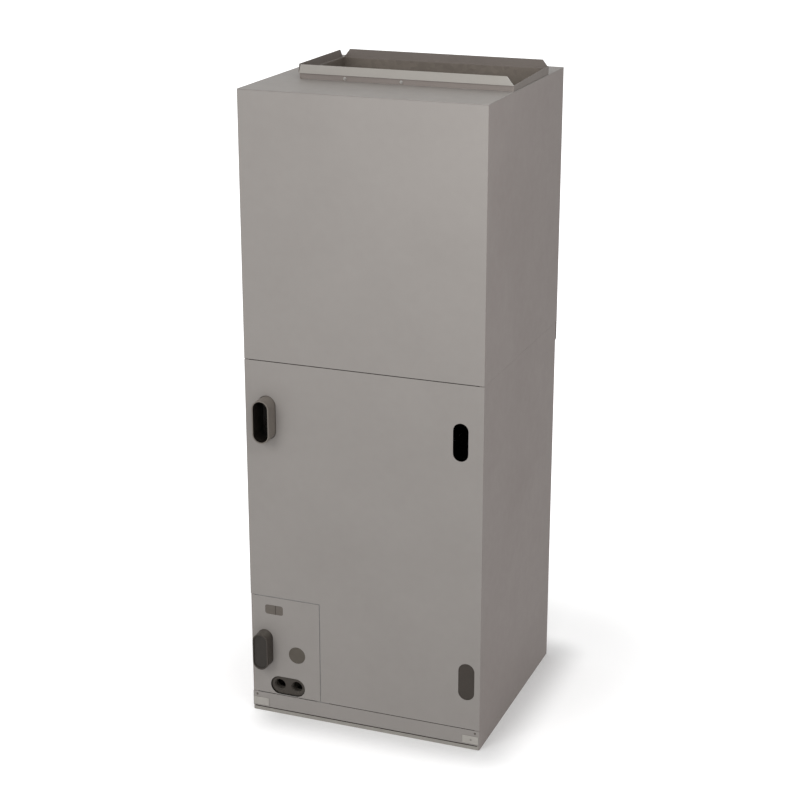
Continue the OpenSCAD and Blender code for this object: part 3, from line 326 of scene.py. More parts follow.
@dataclass(frozen=True)
class Finish:
    """One finish of the object: its colours, gloss and texture.

    Attributes:
        name: Name of the material.
        slot: The record's material slot; not used.
        colour: Main colour as on a screen.
        second: Colour of its patches.
        texture: What it is like from close by.
        roughness: Roughness of the clean surface.
        metallic: Share of metal.
        patch: Scale of the patches.
        patch_amount: How much the second colour shows.
        grain: Scale of the grain.
        depth: Depth of the grain in metres.
        wear: How much the edges are rubbed.
        worn: Colour of rubbed edges, or of the tips of fibres.
        dust: How much dust lies on top.
        specular: Specular level.
        coat: Weight of a clear coat.
        stretch: Direction of drawn lines.
    """

    name: str
    slot: str
    colour: tuple[int, int, int]
    second: tuple[int, int, int]
    texture: Texture = Texture.PAINT
    roughness: float = 0.5
    metallic: float = 0.0
    patch: float = 5.0
    patch_amount: float = 0.5
    grain: float = 900.0
    depth: float = 0.00004
    wear: float = 0.4
    worn: tuple[int, int, int] = (179, 177, 173)
    dust: float = 0.15
    specular: float = 0.4
    coat: float = 0.0
    stretch: Triple = (60.0, 60.0, 2000.0)

    def tone(self, wires: Wires) -> tuple[Socket, Socket, Socket]:
        """Wires the colour below wear and dust.

        Args:
            wires: The material's wires.

        Returns:
            The colour, the mask of its patches and the height of its grain.
        """
        second = shade(self.second)
        patches = GROUPS.place(wires, GROUPS.patchy_tone, First=shade(self.colour), Second=second,
                               Scale=self.patch, Amount=self.patch_amount)
        colour, mask = patches["Color"], patches["Mask"]
        if self.texture is Texture.FIBRE:
            fibre = GROUPS.place(wires, GROUPS.matted_fibres, Scale=self.grain)
            colour = wires.blend(wires.times(fibre["Mask"], 0.6), colour, shade(self.worn))
            return colour, mask, fibre["Height"]
        height = GROUPS.place(wires, GROUPS.fine_grain, Scale=self.grain)["Height"]
        if self.texture is Texture.SPANGLE:
            crystal = GROUPS.place(wires, GROUPS.zinc_spangle, Amount=0.55)["Mask"]
            colour = wires.blend(crystal, colour, second)
            mask = wires.calc("ADD", mask, crystal, clamp=True)
        if self.texture is Texture.DRAWN:
            lines = GROUPS.place(wires, GROUPS.drawn_lines, Stretch=self.stretch)["Mask"]
            colour = wires.blend(lines, colour, second)
            height = wires.calc("ADD", height, lines)
        return colour, mask, height

    def material(self) -> bpy.types.Material:
        """Builds the material, or gives the one built before.

        Returns:
            The material.
        """
        if self.name in MATERIALS:
            return MATERIALS[self.name]
        made = bpy.data.materials.new(self.name)
        MATERIALS[self.name] = made
        made.use_nodes = True
        made.diffuse_color = (*shade(self.colour), 1.0)
        wires = Wires(made.node_tree)
        colour, mask, height = self.tone(wires)
        rough = wires.calc("ADD", wires.times(mask, 0.12), self.roughness, clamp=True)
        if self.wear > 0:
            worn = GROUPS.place(wires, GROUPS.edge_wear, Amount=self.wear)["Mask"]
            colour = wires.blend(worn, colour, shade(self.worn))
        if self.dust > 0:
            dusty = GROUPS.place(wires, GROUPS.settled_dust, Amount=self.dust)["Mask"]
            colour = wires.blend(dusty, colour, shade(DUST))
            rough = wires.calc("ADD", rough, wires.times(dusty, 0.3), clamp=True)
        bump = wires.add("ShaderNodeBump", {"Strength": 0.6, "Distance": self.depth, "Height": height})
        wires.fill(made.node_tree.nodes["Principled BSDF"], {
            "Base Color": colour, "Roughness": rough, "Normal": bump.outputs["Normal"],
            "Metallic": self.metallic, "Specular IOR Level": self.specular, "Coat Weight": self.coat})
        return made


PAINT = Finish("panel_paint", "cabinet_paint", (152, 147, 143), (146, 141, 137), patch_amount=0.7,
               worn=(176, 171, 165), wear=0.5, dust=0.1)
DECK_PAINT = replace(PAINT, name="deck_paint", dust=0.15)
SIDE_PAINT = replace(PAINT, name="casing_paint", colour=(150, 141, 137), second=(143, 134, 130),
                     worn=(172, 166, 160))
KNOCKOUT = Finish("knockout_paint", "cabinet_paint", (104, 97, 90), (95, 89, 82), patch=60.0,
                  worn=(140, 133, 126), dust=0.0)
# The front flange's paint is darkened to stand for the shade below its lip: painted shade. Its lip takes a
# lit copy: painted highlight.
COLLAR_WEB_SHADE = Finish("painted_shade_collar_web", "flange_paint", (134, 126, 121), (126, 118, 113), roughness=0.45,
                      patch=14.0, worn=(186, 182, 176), wear=0.7, dust=0.2)
COLLAR_BACK = replace(COLLAR_WEB_SHADE, name="collar_inside", colour=(126, 118, 112), second=(113, 105, 99),
                      roughness=0.5, worn=(170, 164, 158), wear=0.5)
COLLAR_LIT_LIP = replace(COLLAR_WEB_SHADE, name="collar_painted_highlight_lip", colour=(170, 166, 160), second=(162, 157, 151),
                     worn=(206, 203, 198), dust=0.1)
# Painted highlight: a near-white copy of the flange paint on the deck's front right corner and the collar's
# chamfered corner, standing for the light that glints there.
EDGE_HIGHLIGHT = Finish("painted_highlight_edge", "flange_paint", (236, 235, 232), (220, 219, 216), roughness=0.3, patch=60.0,
              worn=(246, 246, 244), dust=0.0)
ZINC = Finish("galvanised_sheet", "galvanised", (176, 176, 174), (148, 150, 152), Texture.SPANGLE,
              roughness=0.38, metallic=0.75, patch=9.0, wear=0.3, worn=(214, 214, 212), depth=0.00002)
DUCT_ZINC = replace(ZINC, name="duct_sheet", colour=(128, 119, 110), second=(108, 100, 92), roughness=0.5,
                    metallic=0.25, worn=(150, 142, 134))
TRAY_ZINC = replace(ZINC, name="base_sheet", colour=(166, 162, 156), second=(150, 146, 140), roughness=0.5,
                    metallic=0.3, worn=(200, 196, 190))
FIN = Finish("fin_aluminium", "aluminium_fins", (206, 208, 210), (184, 187, 190), Texture.DRAWN,
             roughness=0.34, metallic=0.85, patch=20.0, wear=0.0, dust=0.1, stretch=(2000.0, 40.0, 40.0))
COPPER = Finish("copper_tube", "copper", (186, 116, 80), (146, 88, 62), Texture.DRAWN, roughness=0.32,
                metallic=0.95, patch=40.0, wear=0.3, worn=(214, 150, 112), dust=0.05)
BRASS = Finish("cast_brass", "valve_brass", (196, 164, 96), (166, 134, 74), Texture.DRAWN, roughness=0.35,
               metallic=0.9, patch=50.0, wear=0.5, worn=(226, 200, 140), dust=0.05)
CLIP = Finish("bright_clip_steel", "bright_clip", (186, 182, 176), (166, 162, 156), Texture.DRAWN,
              roughness=0.4, metallic=0.35, patch=60.0, wear=0.8, worn=(220, 218, 214), dust=0.0)
STEEL = Finish("bright_screw_steel", "screw_steel", (182, 180, 176), (150, 148, 144), Texture.DRAWN,
               roughness=0.35, metallic=0.8, patch=80.0, wear=0.5, worn=(220, 220, 218), dust=0.05)
DARK_STEEL = Finish("dark_screw_steel", "screw_steel", (108, 102, 96), (92, 86, 80), Texture.DRAWN,
                    roughness=0.45, metallic=0.4, patch=80.0, wear=0.4, worn=(128, 122, 116), dust=0.0)
CAN = Finish("drawn_can", "can_aluminium", (196, 198, 200), (172, 174, 176), Texture.DRAWN, roughness=0.3,
             metallic=0.9, patch=40.0, wear=0.3, worn=(226, 226, 226))
CORE = Finish("core_steel", "transformer_steel", (78, 78, 84), (58, 58, 64), Texture.DRAWN, metallic=0.5,
              patch=40.0, wear=0.5, worn=(140, 140, 144), stretch=(60.0, 1600.0, 60.0))
MOTOR = Finish("motor_enamel", "motor_black", (40, 40, 42), (30, 30, 32), roughness=0.42, patch=30.0,
               wear=0.6, worn=(104, 102, 100), dust=0.25, coat=0.2)
BLANKET = Finish("insulation_blanket", "insulation", (58, 58, 60), (44, 44, 46), Texture.FIBRE,
                 roughness=0.92, patch=12.0, grain=240.0, depth=0.0012, wear=0.0, worn=(92, 92, 94),
                 dust=0.0, specular=0.15)
# Painted shade: a near-black strip on the rails behind the panel seams and below the filter door, standing
# for the shade in those gaps.
SEAM_SHADE = replace(BLANKET, name="foam_gasket", colour=(48, 44, 40), second=(38, 35, 32), roughness=0.95,
                 patch=30.0, grain=600.0, depth=0.0002, worn=(60, 56, 52), specular=0.1)
CARD = replace(BLANKET, name="frame_card", slot="filter_card", colour=(188, 156, 116),
               second=(168, 138, 100), roughness=0.85, patch=18.0, grain=900.0, depth=0.0002,
               worn=(206, 178, 140), specular=0.4)
CLOTH = replace(CARD, name="pleated_cloth", slot="filter_cloth", colour=(232, 232, 228),
                second=(216, 217, 214), roughness=0.95, patch=14.0, grain=420.0, depth=0.0006,
                worn=(246, 246, 244))
PAN = Finish("drain_pan_plastic", "drain_plastic", (68, 62, 56), (56, 51, 46), Texture.MOULDED,
             roughness=0.55, patch=25.0, grain=700.0, depth=0.00008, wear=0.8, worn=(116, 108, 98), dust=0.2)
# Painted sheen: a lighter copy of the pan plastic on the upper boss's outer wall and front ring, standing for
# the light that they reflect.
BOSS_SHEEN = replace(PAN, name="boss_wall_painted_sheen", colour=(120, 113, 106), second=(106, 99, 93),
                    roughness=0.42, worn=(150, 143, 134), dust=0.1)
# Painted shade: a near-black copy of the pan plastic inside the upper boss's hollow, where shade falls.
HOLLOW_SHADE = replace(PAN, name="boss_hollow_painted_shade", colour=(34, 30, 26), second=(26, 23, 20),
                      roughness=0.35, wear=0.6, worn=(90, 84, 76), dust=0.0)
DARK = replace(PAN, name="dark_cap_plastic", slot="dark_plastic", colour=(62, 55, 49), second=(48, 43, 38),
               roughness=0.5, patch=45.0, worn=(132, 124, 114), dust=0.1)
PLUG_DARK = replace(DARK, name="dark_plug_plastic", colour=(50, 45, 40), second=(41, 37, 33), roughness=0.4,
                    wear=0.9, worn=(128, 120, 110))
RUBBER = replace(DARK, name="grommet_rubber", slot="plug_rubber", colour=(90, 84, 76), second=(80, 74, 67),
                 roughness=0.75, grain=600.0, depth=0.0001, wear=0.5, worn=(128, 120, 112))
WINDING = Finish("winding_tape", "transformer_steel", (206, 176, 92), (186, 156, 76), Texture.MOULDED,
                 roughness=0.6, patch=60.0, wear=0.2, worn=(226, 204, 140))
BOARD = Finish("board_laminate", "board_green", (44, 100, 62), (36, 86, 52), Texture.MOULDED,
               roughness=0.35, patch=120.0, grain=1500.0, wear=0.2, worn=(120, 150, 110), dust=0.1)
RELAY = Finish("relay_case", "board_green", (36, 38, 42), (28, 30, 34), Texture.MOULDED, roughness=0.4,
               patch=80.0, wear=0.3, worn=(90, 92, 96), dust=0.1)
LEAD = Finish("lead_sleeve", "lead_black", (34, 34, 36), (26, 26, 28), Texture.MOULDED, patch=60.0,
              wear=0.1, worn=(70, 70, 72))


class Facing(Enum):
    """Which way a drawing is set up before it is made a sheet."""

    FRONT = "front"
    TOP = "top"

    def place(self, across: float, up: float, deep: float) -> Triple:
        """Gives the place of a drawing's point.

        Args:
            across: First coordinate of the drawing.
            up: Second coordinate of the drawing.
            deep: Distance along the direction it faces.

        Returns:
            The point in the object's frame.
        """
        return (across, deep, up) if self is Facing.FRONT else (across, up, deep)


def box_loop(left: float, low: float, right: float, high: float, corner: float = 0.0, steps: int = 6) -> Loop:
    """Draws a rectangle, with round corners where it has them.

    Args:
        left: Its left side.
        low: Its lower side.
        right: Its right side.
        high: Its upper side.
        corner: Radius of its corners.
        steps: Parts of each corner.

    Returns:
        The outline.
    """
    if corner <= 0:
        return [(left, low), (right, low), (right, high), (left, high)]
    middles = [(right - corner, low + corner), (right - corner, high - corner),
               (left + corner, high - corner), (left + corner, low + corner)]
    loop = []
    for quarter, (across, up) in enumerate(middles):
        for step in range(steps + 1):
            turn = math.radians(90 * (quarter - 1) + 90 * step / steps)
            loop.append((across + corner * math.cos(turn), up + corner * math.sin(turn)))
    return loop


def ring_loop(across: float, up: float, radius: float, steps: int = 16) -> Loop:
    """Draws a circle."""
    turns = [math.tau * step / steps for step in range(steps)]
    return [(across + radius * math.cos(turn), up + radius * math.sin(turn)) for turn in turns]


def rounded(first: Vector, corner: Vector, last: Vector, steps: int) -> list[Vector]:
    """Rounds one corner between the ends of its bend.

    Args:
        first: Start of the bend.
        corner: The corner itself.
        last: End of the bend.
        steps: Parts of the bend.

    Returns:
        The points of the bend.
    """
    shares = [step / steps for step in range(steps + 1)]
    return [first * (1 - share) ** 2 + corner * 2 * share * (1 - share) + last * share**2 for share in shares]


def bent_strip(path: Sequence[tuple[float, float]], thick: float, bend: float, steps: int = 4) -> Loop:
    """Draws the edge of a bent sheet with round bends, thickened to the left of its path.

    Args:
        path: The corners of the sheet's outer line.
        thick: Its thickness.
        bend: Radius of the outer bends.
        steps: Parts of each bend.

    Returns:
        The outline.
    """
    points = [Vector(point) for point in path]

    def side(offset: float, radius: float) -> Loop:
        """Draws one line of the strip.

        Args:
            offset: Its distance from the path.
            radius: Radius of its bends.

        Returns:
            The points of the line.
        """
        line = []
        for index, point in enumerate(points):
            before = (point - points[max(index, 1) - 1]).normalized()
            after = (points[min(index + 1, len(points) - 1)] - point).normalized()
            if index in (0, len(points) - 1):
                way = before if index else after
                line.append(tuple(point + Vector((-way.y, way.x)) * offset))
                continue
            aside = Vector((-before.y, before.x))
            normal = aside + Vector((-after.y, after.x))
            corner = point + normal * (offset / normal.dot(aside))
            reach = radius * math.tan(math.acos(before.dot(after)) / 2)
            ends = corner - before * reach, corner + after * reach
            line += [tuple(spot) for spot in rounded(ends[0], corner, ends[1], steps)]
        return line

    return side(0.0, bend) + side(thick, bend - thick)[::-1]


def evaluated_mesh(source: Object, keep: bool = False) -> Mesh:
    """Gives an object's mesh with its modifiers done, and removes the object.

    Args:
        source: The object.
        keep: Whether the object stays.

    Returns:
        The new mesh.
    """
    graph = bpy.context.evaluated_depsgraph_get()
    graph.update()
    mesh = bpy.data.meshes.new_from_object(source.evaluated_get(graph), depsgraph=graph)
    if not keep:
        bpy.data.objects.remove(source)
    return mesh


def linked(name: str, data: bpy.types.ID) -> Object:
    """Makes an object of some data and links it to the scene."""
    made = bpy.data.objects.new(name, data)
    bpy.context.scene.collection.objects.link(made)
    return made


def as_object(name: str, mesh: Mesh, angle: float) -> Object:
    """Links a mesh as an object whose large faces stay flat and whose rounded edges blend into them.

    Args:
        name: Name of the piece.
        mesh: Its mesh.
        angle: Turn in degrees from which an edge is sharp.

    Returns:
        The object.
    """
    mesh.polygons.foreach_set("use_smooth", [True] * len(mesh.polygons))
    mesh.set_sharp_from_angle(angle=math.radians(angle))
    made = linked(name, mesh)
    even = made.modifiers.new("even", "WEIGHTED_NORMAL")
    even.keep_sharp = True
    made.data = evaluated_mesh(made, keep=True)
    made.modifiers.remove(even)
    bpy.data.meshes.remove(mesh)
    made.data.name = name
    return made


def cleaned(mesh: Mesh) -> Mesh:
    """Merges a mesh's doubles and turns its faces outward.

    Args:
        mesh: The mesh.

    Returns:
        The same mesh.
    """
    work = bmesh.new()
    work.from_mesh(mesh)
    bmesh.ops.remove_doubles(work, verts=work.verts, dist=DRAWN_MERGE)
    bmesh.ops.recalc_face_normals(work, faces=work.faces)
    work.to_mesh(mesh)
    work.free()
    return mesh


def curve_mesh(curve: bpy.types.Curve, lines: Sequence[Sequence[float]], cyclic: bool) -> Mesh:
    """Fills a curve with straight lines and gives its mesh.

    Args:
        curve: The curve, which is removed.
        lines: The points of each line, four values to a point.
        cyclic: Whether the lines are closed.

    Returns:
        The mesh.
    """
    for values in lines:
        line = curve.splines.new("POLY")
        line.points.add(len(values) // 4 - 1)
        line.points.foreach_set("co", values)
        line.use_cyclic_u = cyclic
    mesh = evaluated_mesh(linked("drawing", curve))
    bpy.data.curves.remove(curve)
    return mesh


def sheet(loops: Sequence[Loop], near: float, far: float, facing: Facing, edge: float) -> Mesh:
    """Makes a solid sheet or bar from a drawing, with holes and rounded edges.

    Args:
        loops: The outline and the holes in it.
        near: Where it starts along the direction it faces.
        far: Where it ends.
        facing: Which way the drawing is set up.
        edge: Size of the rounded edges.

    Returns:
        The mesh.
    """
    curve = bpy.data.curves.new("drawing", "CURVE")
    curve.dimensions = "2D"
    curve.fill_mode = "BOTH"
    low, high = min(near, far), max(near, far)
    edge = min(edge, (high - low) * 0.45)
    curve.extrude = (high - low) / 2 - edge
    curve.bevel_depth = edge
    curve.bevel_resolution = 1
    curve.offset = -edge
    lines = [[value for point in loop for value in (*point, 0.0, 1.0)] for loop in loops]
    mesh = curve_mesh(curve, lines, True)
    middle = (low + high) / 2
    for vertex in mesh.vertices:
        vertex.co = facing.place(vertex.co.x, vertex.co.y, middle + vertex.co.z)
    return cleaned(mesh)


def tube(points: Sequence[Vector], radius: float, sides: int) -> Mesh:
    """Makes a round tube along a path, closed at its ends.

    Args:
        points: The path.
        radius: Radius of the tube.
        sides: Resolution of its round.

    Returns:
        The mesh.
    """
    curve = bpy.data.curves.new("route", "CURVE")
    curve.dimensions = "3D"
    curve.bevel_depth = radius
    curve.bevel_resolution = sides
    curve.use_fill_caps = True
    return cleaned(curve_mesh(curve, [[value for point in points for value in (*point, 1.0)]], False))


def softened_path(points: Sequence[Vector], radius: float, steps: int = 8) -> list[Vector]:
    """Rounds the corners of a path.

    Args:
        points: The path's corners.
        radius: Radius of the bends, or less where a stretch is short.
        steps: Parts of each bend.

    Returns:
        The points of the rounded path.
    """
    made = [points[0]]
    for before, corner, after in zip(points, points[1:], points[2:]):
        back, ahead = before - corner, after - corner
        reach = min(radius / math.tan(back.angle(ahead) / 2), back.length * 0.45, ahead.length * 0.45)
        ends = corner + back.normalized() * reach, corner + ahead.normalized() * reach
        made += rounded(ends[0], corner, ends[1], steps)
    made.append(points[-1])
    return made


def turned(profile: Loop, foot: Vector, axis: Vector, steps: int) -> Mesh:
    """Turns a profile round an axis into a closed body.

    Args:
        profile: Points as distance along the axis and radius.
        foot: Where the axis starts.
        axis: Its direction.
        steps: Parts of a full turn.

    Returns:
        The mesh.
    """
    work = bmesh.new()
    basis = axis.normalized().to_track_quat("Z", "Y").to_matrix()
    turns = [math.tau * step / steps for step in range(steps)]
    rings = []
    for along, radius in profile:
        spots = [Vector((radius * math.cos(turn), radius * math.sin(turn), along)) for turn in turns]
        if radius < 1e-7:
            spots = [Vector((0, 0, along))]
        rings.append([work.verts.new(foot + basis @ spot) for spot in spots])
    for first, second in zip(rings, rings[1:]):
        for step in range(steps):
            after = (step + 1) % steps
            corners = [first[step % len(first)], first[after % len(first)],
                       second[after % len(second)], second[step % len(second)]]
            unique = list(dict.fromkeys(corners))
            if len(unique) > 2:
                work.faces.new(unique)
    bmesh.ops.recalc_face_normals(work, faces=work.faces)
    mesh = bpy.data.meshes.new("turned")
    work.to_mesh(mesh)
    work.free()
    return mesh


def joined(meshes: Sequence[Mesh]) -> Mesh:
    """Puts several meshes into one, and removes them.

    Args:
        meshes: The meshes.

    Returns:
        The joined mesh.
    """
    work = bmesh.new()
    for mesh in meshes:
        work.from_mesh(mesh)
        bpy.data.meshes.remove(mesh)
    made = bpy.data.meshes.new("joined")
    work.to_mesh(made)
    work.free()
    return made


def mirrored(mesh: Mesh) -> Mesh:
    """Gives a copy of a mesh mirrored to the other side of the cabinet."""
    made = mesh.copy()
    made.transform(Matrix.Scale(-1, 4, Vector((1, 0, 0))))
    made.flip_normals()
    return made


def softened_node(node: str, width: float, turn: float) -> Mesh:
    """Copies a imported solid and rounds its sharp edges.

    Args:
        node: The node's name.
        width: Width of the rounding.
        turn: Angle in degrees from which an edge is rounded.

    Returns:
        The mesh.
    """
    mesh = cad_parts[node].data.copy()
    mesh.materials.clear()
    work = bmesh.new()
    work.from_mesh(mesh)
    bmesh.ops.remove_doubles(work, verts=work.verts, dist=PACKED_MERGE)
    bmesh.ops.dissolve_limit(work, angle_limit=math.radians(0.6), verts=work.verts, edges=work.edges)
    work.to_mesh(mesh)
    work.free()
    for name in [layer.name for layer in mesh.attributes]:
        if "normal" in name or "sharp" in name:
            mesh.attributes.remove(mesh.attributes[name])
    holder = linked("soften", mesh)
    bevel = holder.modifiers.new("round", "BEVEL")
    bevel.width = width
    bevel.segments = 2
    bevel.limit_method = "ANGLE"
    bevel.angle_limit = math.radians(turn)
    made = evaluated_mesh(holder)
    bpy.data.meshes.remove(mesh)
    return made


def own(name: str, mesh: Mesh, finish: Finish, nodes: Sequence[str] = (), angle: float = 30.0,
        body: str = "cabinet") -> Object:
    """Makes a finished piece: named, dressed and riding on its body.

    Args:
        name: Name of the piece.
        mesh: Its mesh.
        finish: Its finish.
        nodes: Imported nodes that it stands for.
        angle: Turn in degrees from which an edge is sharp.
        body: The body that it rides on.

    Returns:
        The piece.
    """
    made = as_object(name, mesh, angle)
    if not made.data.materials:
        made.data.materials.append(finish.material())
    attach(made, body)
    if nodes:
        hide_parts(*nodes)
    LOG.info("%s: %d faces", name, len(made.data.polygons))
    return made


def dressed(node: str, finish: Finish) -> None:
    """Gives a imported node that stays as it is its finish."""
    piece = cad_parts[node]
    piece.data.materials.clear()
    piece.data.materials.append(finish.material())
    LOG.info("%s: kept, %s", node, finish.name)


def soft(node: str, finish: Finish, width: float, body: str = "cabinet", turn: float = 50.0,
         **parts: tuple[Finish, Test]) -> None:
    """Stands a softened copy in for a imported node.

    Args:
        node: The node's name.
        finish: Its finish.
        width: Width of the rounded edges.
        body: The body that it rides on.
        turn: Angle in degrees from which an edge is rounded.
        **parts: Second finishes, each with a test of a face's middle and normal.
    """
    mesh = own(f"{node}_dressed", softened_node(node, width, turn), finish, [node], 50.0, body).data
    for label, (second, test) in parts.items():
        mesh.materials.append(second.material())
        index = len(mesh.materials) - 1
        for face in mesh.polygons:
            if test(face.center, face.normal):
                face.material_index = index
        LOG.info("%s: %s is %s", node, label, second.name)


class Repeater(Wires):
    """Geometry Nodes that repeat a small form, turned into plain meshes."""

    def __init__(self, name: str, **sizes: float) -> None:
        """Starts a tree.

        Args:
            name: Name of the tree.
            **sizes: Names of its inputs and their values in metres.
        """
        super().__init__(bpy.data.node_groups.new(name, "GeometryNodeTree"))
        sockets = self.tree.interface
        sockets.new_socket("Geometry", in_out="INPUT", socket_type="NodeSocketGeometry")
        self.values: dict[str, float] = {}
        for label, value in sizes.items():
            made = sockets.new_socket(label, in_out="INPUT", socket_type="NodeSocketFloat")
            self.values[made.identifier] = value
        sockets.new_socket("Geometry", in_out="OUTPUT", socket_type="NodeSocketGeometry")
        self.inputs = self.add("NodeGroupInput").outputs

    def __getitem__(self, label: str) -> Socket:
        """Gives one of the named inputs."""
        return self.inputs[label]

    def mesh(self, shape: Socket, places: Sequence[Place], finish: Finish) -> Mesh:
        """Puts a shape at every place, and runs the tree.

        Args:
            shape: The shape.
            places: Points and the angles that turn the shape at each.
            finish: Its finish.

        Returns:
            The plain mesh.
        """
        held = self.add("GeometryNodeInputNamedAttribute", {"Name": "turn"}, data_type="FLOAT_VECTOR")
        turn = self.add("FunctionNodeEulerToRotation", {0: held.outputs[0]}).outputs[0]
        inputs = {"Points": self["Geometry"], "Instance": shape, "Rotation": turn}
        copies = self.add("GeometryNodeInstanceOnPoints", inputs).outputs[0]
        real = self.add("GeometryNodeRealizeInstances", {0: copies}).outputs[0]
        dress = self.add("GeometryNodeSetMaterial", {"Geometry": real, "Material": finish.material()})
        self.add("NodeGroupOutput", {0: dress.outputs[0]})
        base = bpy.data.meshes.new("places")
        base.from_pydata([tuple(point) for point, _ in places], [], [])
        values = [value for _, angles in places for value in angles]
        base.attributes.new("turn", "FLOAT_VECTOR", "POINT").data.foreach_set("vector", values)
        holder = linked("places", base)
        modifier = holder.modifiers.new("repeat", "NODES")
        modifier.node_group = self.tree
        for identifier, value in self.values.items():
            modifier[identifier] = value
        mesh = evaluated_mesh(holder)
        bpy.data.meshes.remove(base)
        return mesh

    def piece(self, name: str, shape: Socket, places: Sequence[Place], finish: Finish,
              nodes: Sequence[str] = (), angle: float = 30.0, body: str = "cabinet") -> None:
        """Makes one finished piece of the shape at every place.

        Args:
            name: Name of the piece.
            shape: The shape.
            places: Points and angles.
            finish: Its finish.
            nodes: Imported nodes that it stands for.
            angle: Turn in degrees from which an edge is sharp.
            body: The body that it rides on.
        """
        own(name, self.mesh(shape, places, finish), finish, nodes, angle, body)

    def vector(self, x: object = 0.0, y: object = 0.0, z: object = 0.0) -> Socket:
        """Puts three values together as a vector."""
        return self.add("ShaderNodeCombineXYZ", {0: x, 1: y, 2: z}).outputs[0]

    def along_x(self) -> Socket:
        """Gives the place of each point along the shape's X."""
        place = self.add("GeometryNodeInputPosition").outputs[0]
        return self.add("ShaderNodeSeparateXYZ", {0: place}).outputs["X"]

    def shifted(self, shape: Socket, offset: Socket) -> Socket:
        """Moves the points of a shape."""
        return self.add("GeometryNodeSetPosition", {"Geometry": shape, "Offset": offset}).outputs[0]

    def moved(self, shape: Socket, way: Socket, angles: Triple = (0.0, 0.0, 0.0)) -> Socket:
        """Moves and turns a shape as a whole."""
        inputs = {"Geometry": shape, "Translation": way, "Rotation": angles}
        return self.add("GeometryNodeTransform", inputs).outputs[0]

    def together(self, *shapes: Socket) -> Socket:
        """Joins shapes."""
        node = self.add("GeometryNodeJoinGeometry")
        for shape in shapes:
            self.put(node.inputs[0], shape)
        return node.outputs[0]

    def cone(self, sides: int, low: object, high: object, tall: object, lift: object = 0.0) -> Socket:
        """Adds a closed cone or cylinder along Z.

        Args:
            sides: How many sides it has.
            low: Its lower radius.
            high: Its upper radius.
            tall: Its height.
            lift: Where it starts.

        Returns:
            Its geometry.
        """
        inputs = {"Vertices": sides, "Radius Bottom": low, "Radius Top": high, "Depth": tall}
        shape = self.add("GeometryNodeMeshCone", inputs).outputs["Mesh"]
        return self.moved(shape, self.vector(z=lift))

    def block(self, wide: object, deep: object, tall: object, cuts: int = 2) -> Socket:
        """Adds a block about its middle, with a number of points along its width."""
        inputs = {"Size": self.vector(wide, deep, tall), "Vertices X": cuts}
        return self.add("GeometryNodeMeshCube", inputs).outputs["Mesh"]

    def swept(self, curve: Socket, radius: object, sides: int) -> Socket:
        """Sweeps a round section along a curve, closed at its ends.

        Args:
            curve: The curve.
            radius: Radius of the section.
            sides: Its sides.

        Returns:
            The swept mesh.
        """
        ring = self.add("GeometryNodeCurvePrimitiveCircle", {"Resolution": sides, "Radius": radius})
        inputs = {"Curve": curve, "Profile Curve": ring.outputs[0], "Fill Caps": True}
        return self.add("GeometryNodeCurveToMesh", inputs).outputs[0]


def islands(node: str) -> list[tuple[Vector, Vector]]:
    """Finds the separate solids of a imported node.

    Args:
        node: The node's name.

    Returns:
        The lower and the upper corner of each solid.
    """
    work = bmesh.new()
    work.from_mesh(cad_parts[node].data)
    bmesh.ops.remove_doubles(work, verts=work.verts, dist=PACKED_MERGE)
    left = set(work.verts)
    found = []
    while left:
        reach = [left.pop()]
        spots = []
        while reach:
            vertex = reach.pop()
            spots.append(vertex.co.copy())
            near = {edge.other_vert(vertex) for edge in vertex.link_edges} & left
            left -= near
            reach += near
        sides = list(zip(*spots))
        found.append((Vector([min(side) for side in sides]), Vector([max(side) for side in sides])))
    work.free()
    return sorted(found, key=lambda pair: tuple(pair[0]))


def toward(way: Sequence[float]) -> Triple:
    """Gives the angles that turn a shape's Z to a direction."""
    return tuple(Vector(way).to_track_quat("Z", "Y").to_euler())


def by_axes(first: Sequence[float], second: Sequence[float]) -> Triple:
    """Gives the angles that turn a shape's X and Y to two square directions."""
    x, y = Vector(first).normalized(), Vector(second).normalized()
    return tuple(Matrix((x, y, x.cross(y))).transposed().to_euler())


RIGHT, BACK, UP = Vector((1, 0, 0)), Vector((0, 1, 0)), Vector((0, 0, 1))
TO_RIGHT, TO_LEFT, TO_BACK, TO_FRONT = toward(RIGHT), toward(-RIGHT), toward(BACK), toward(-BACK)


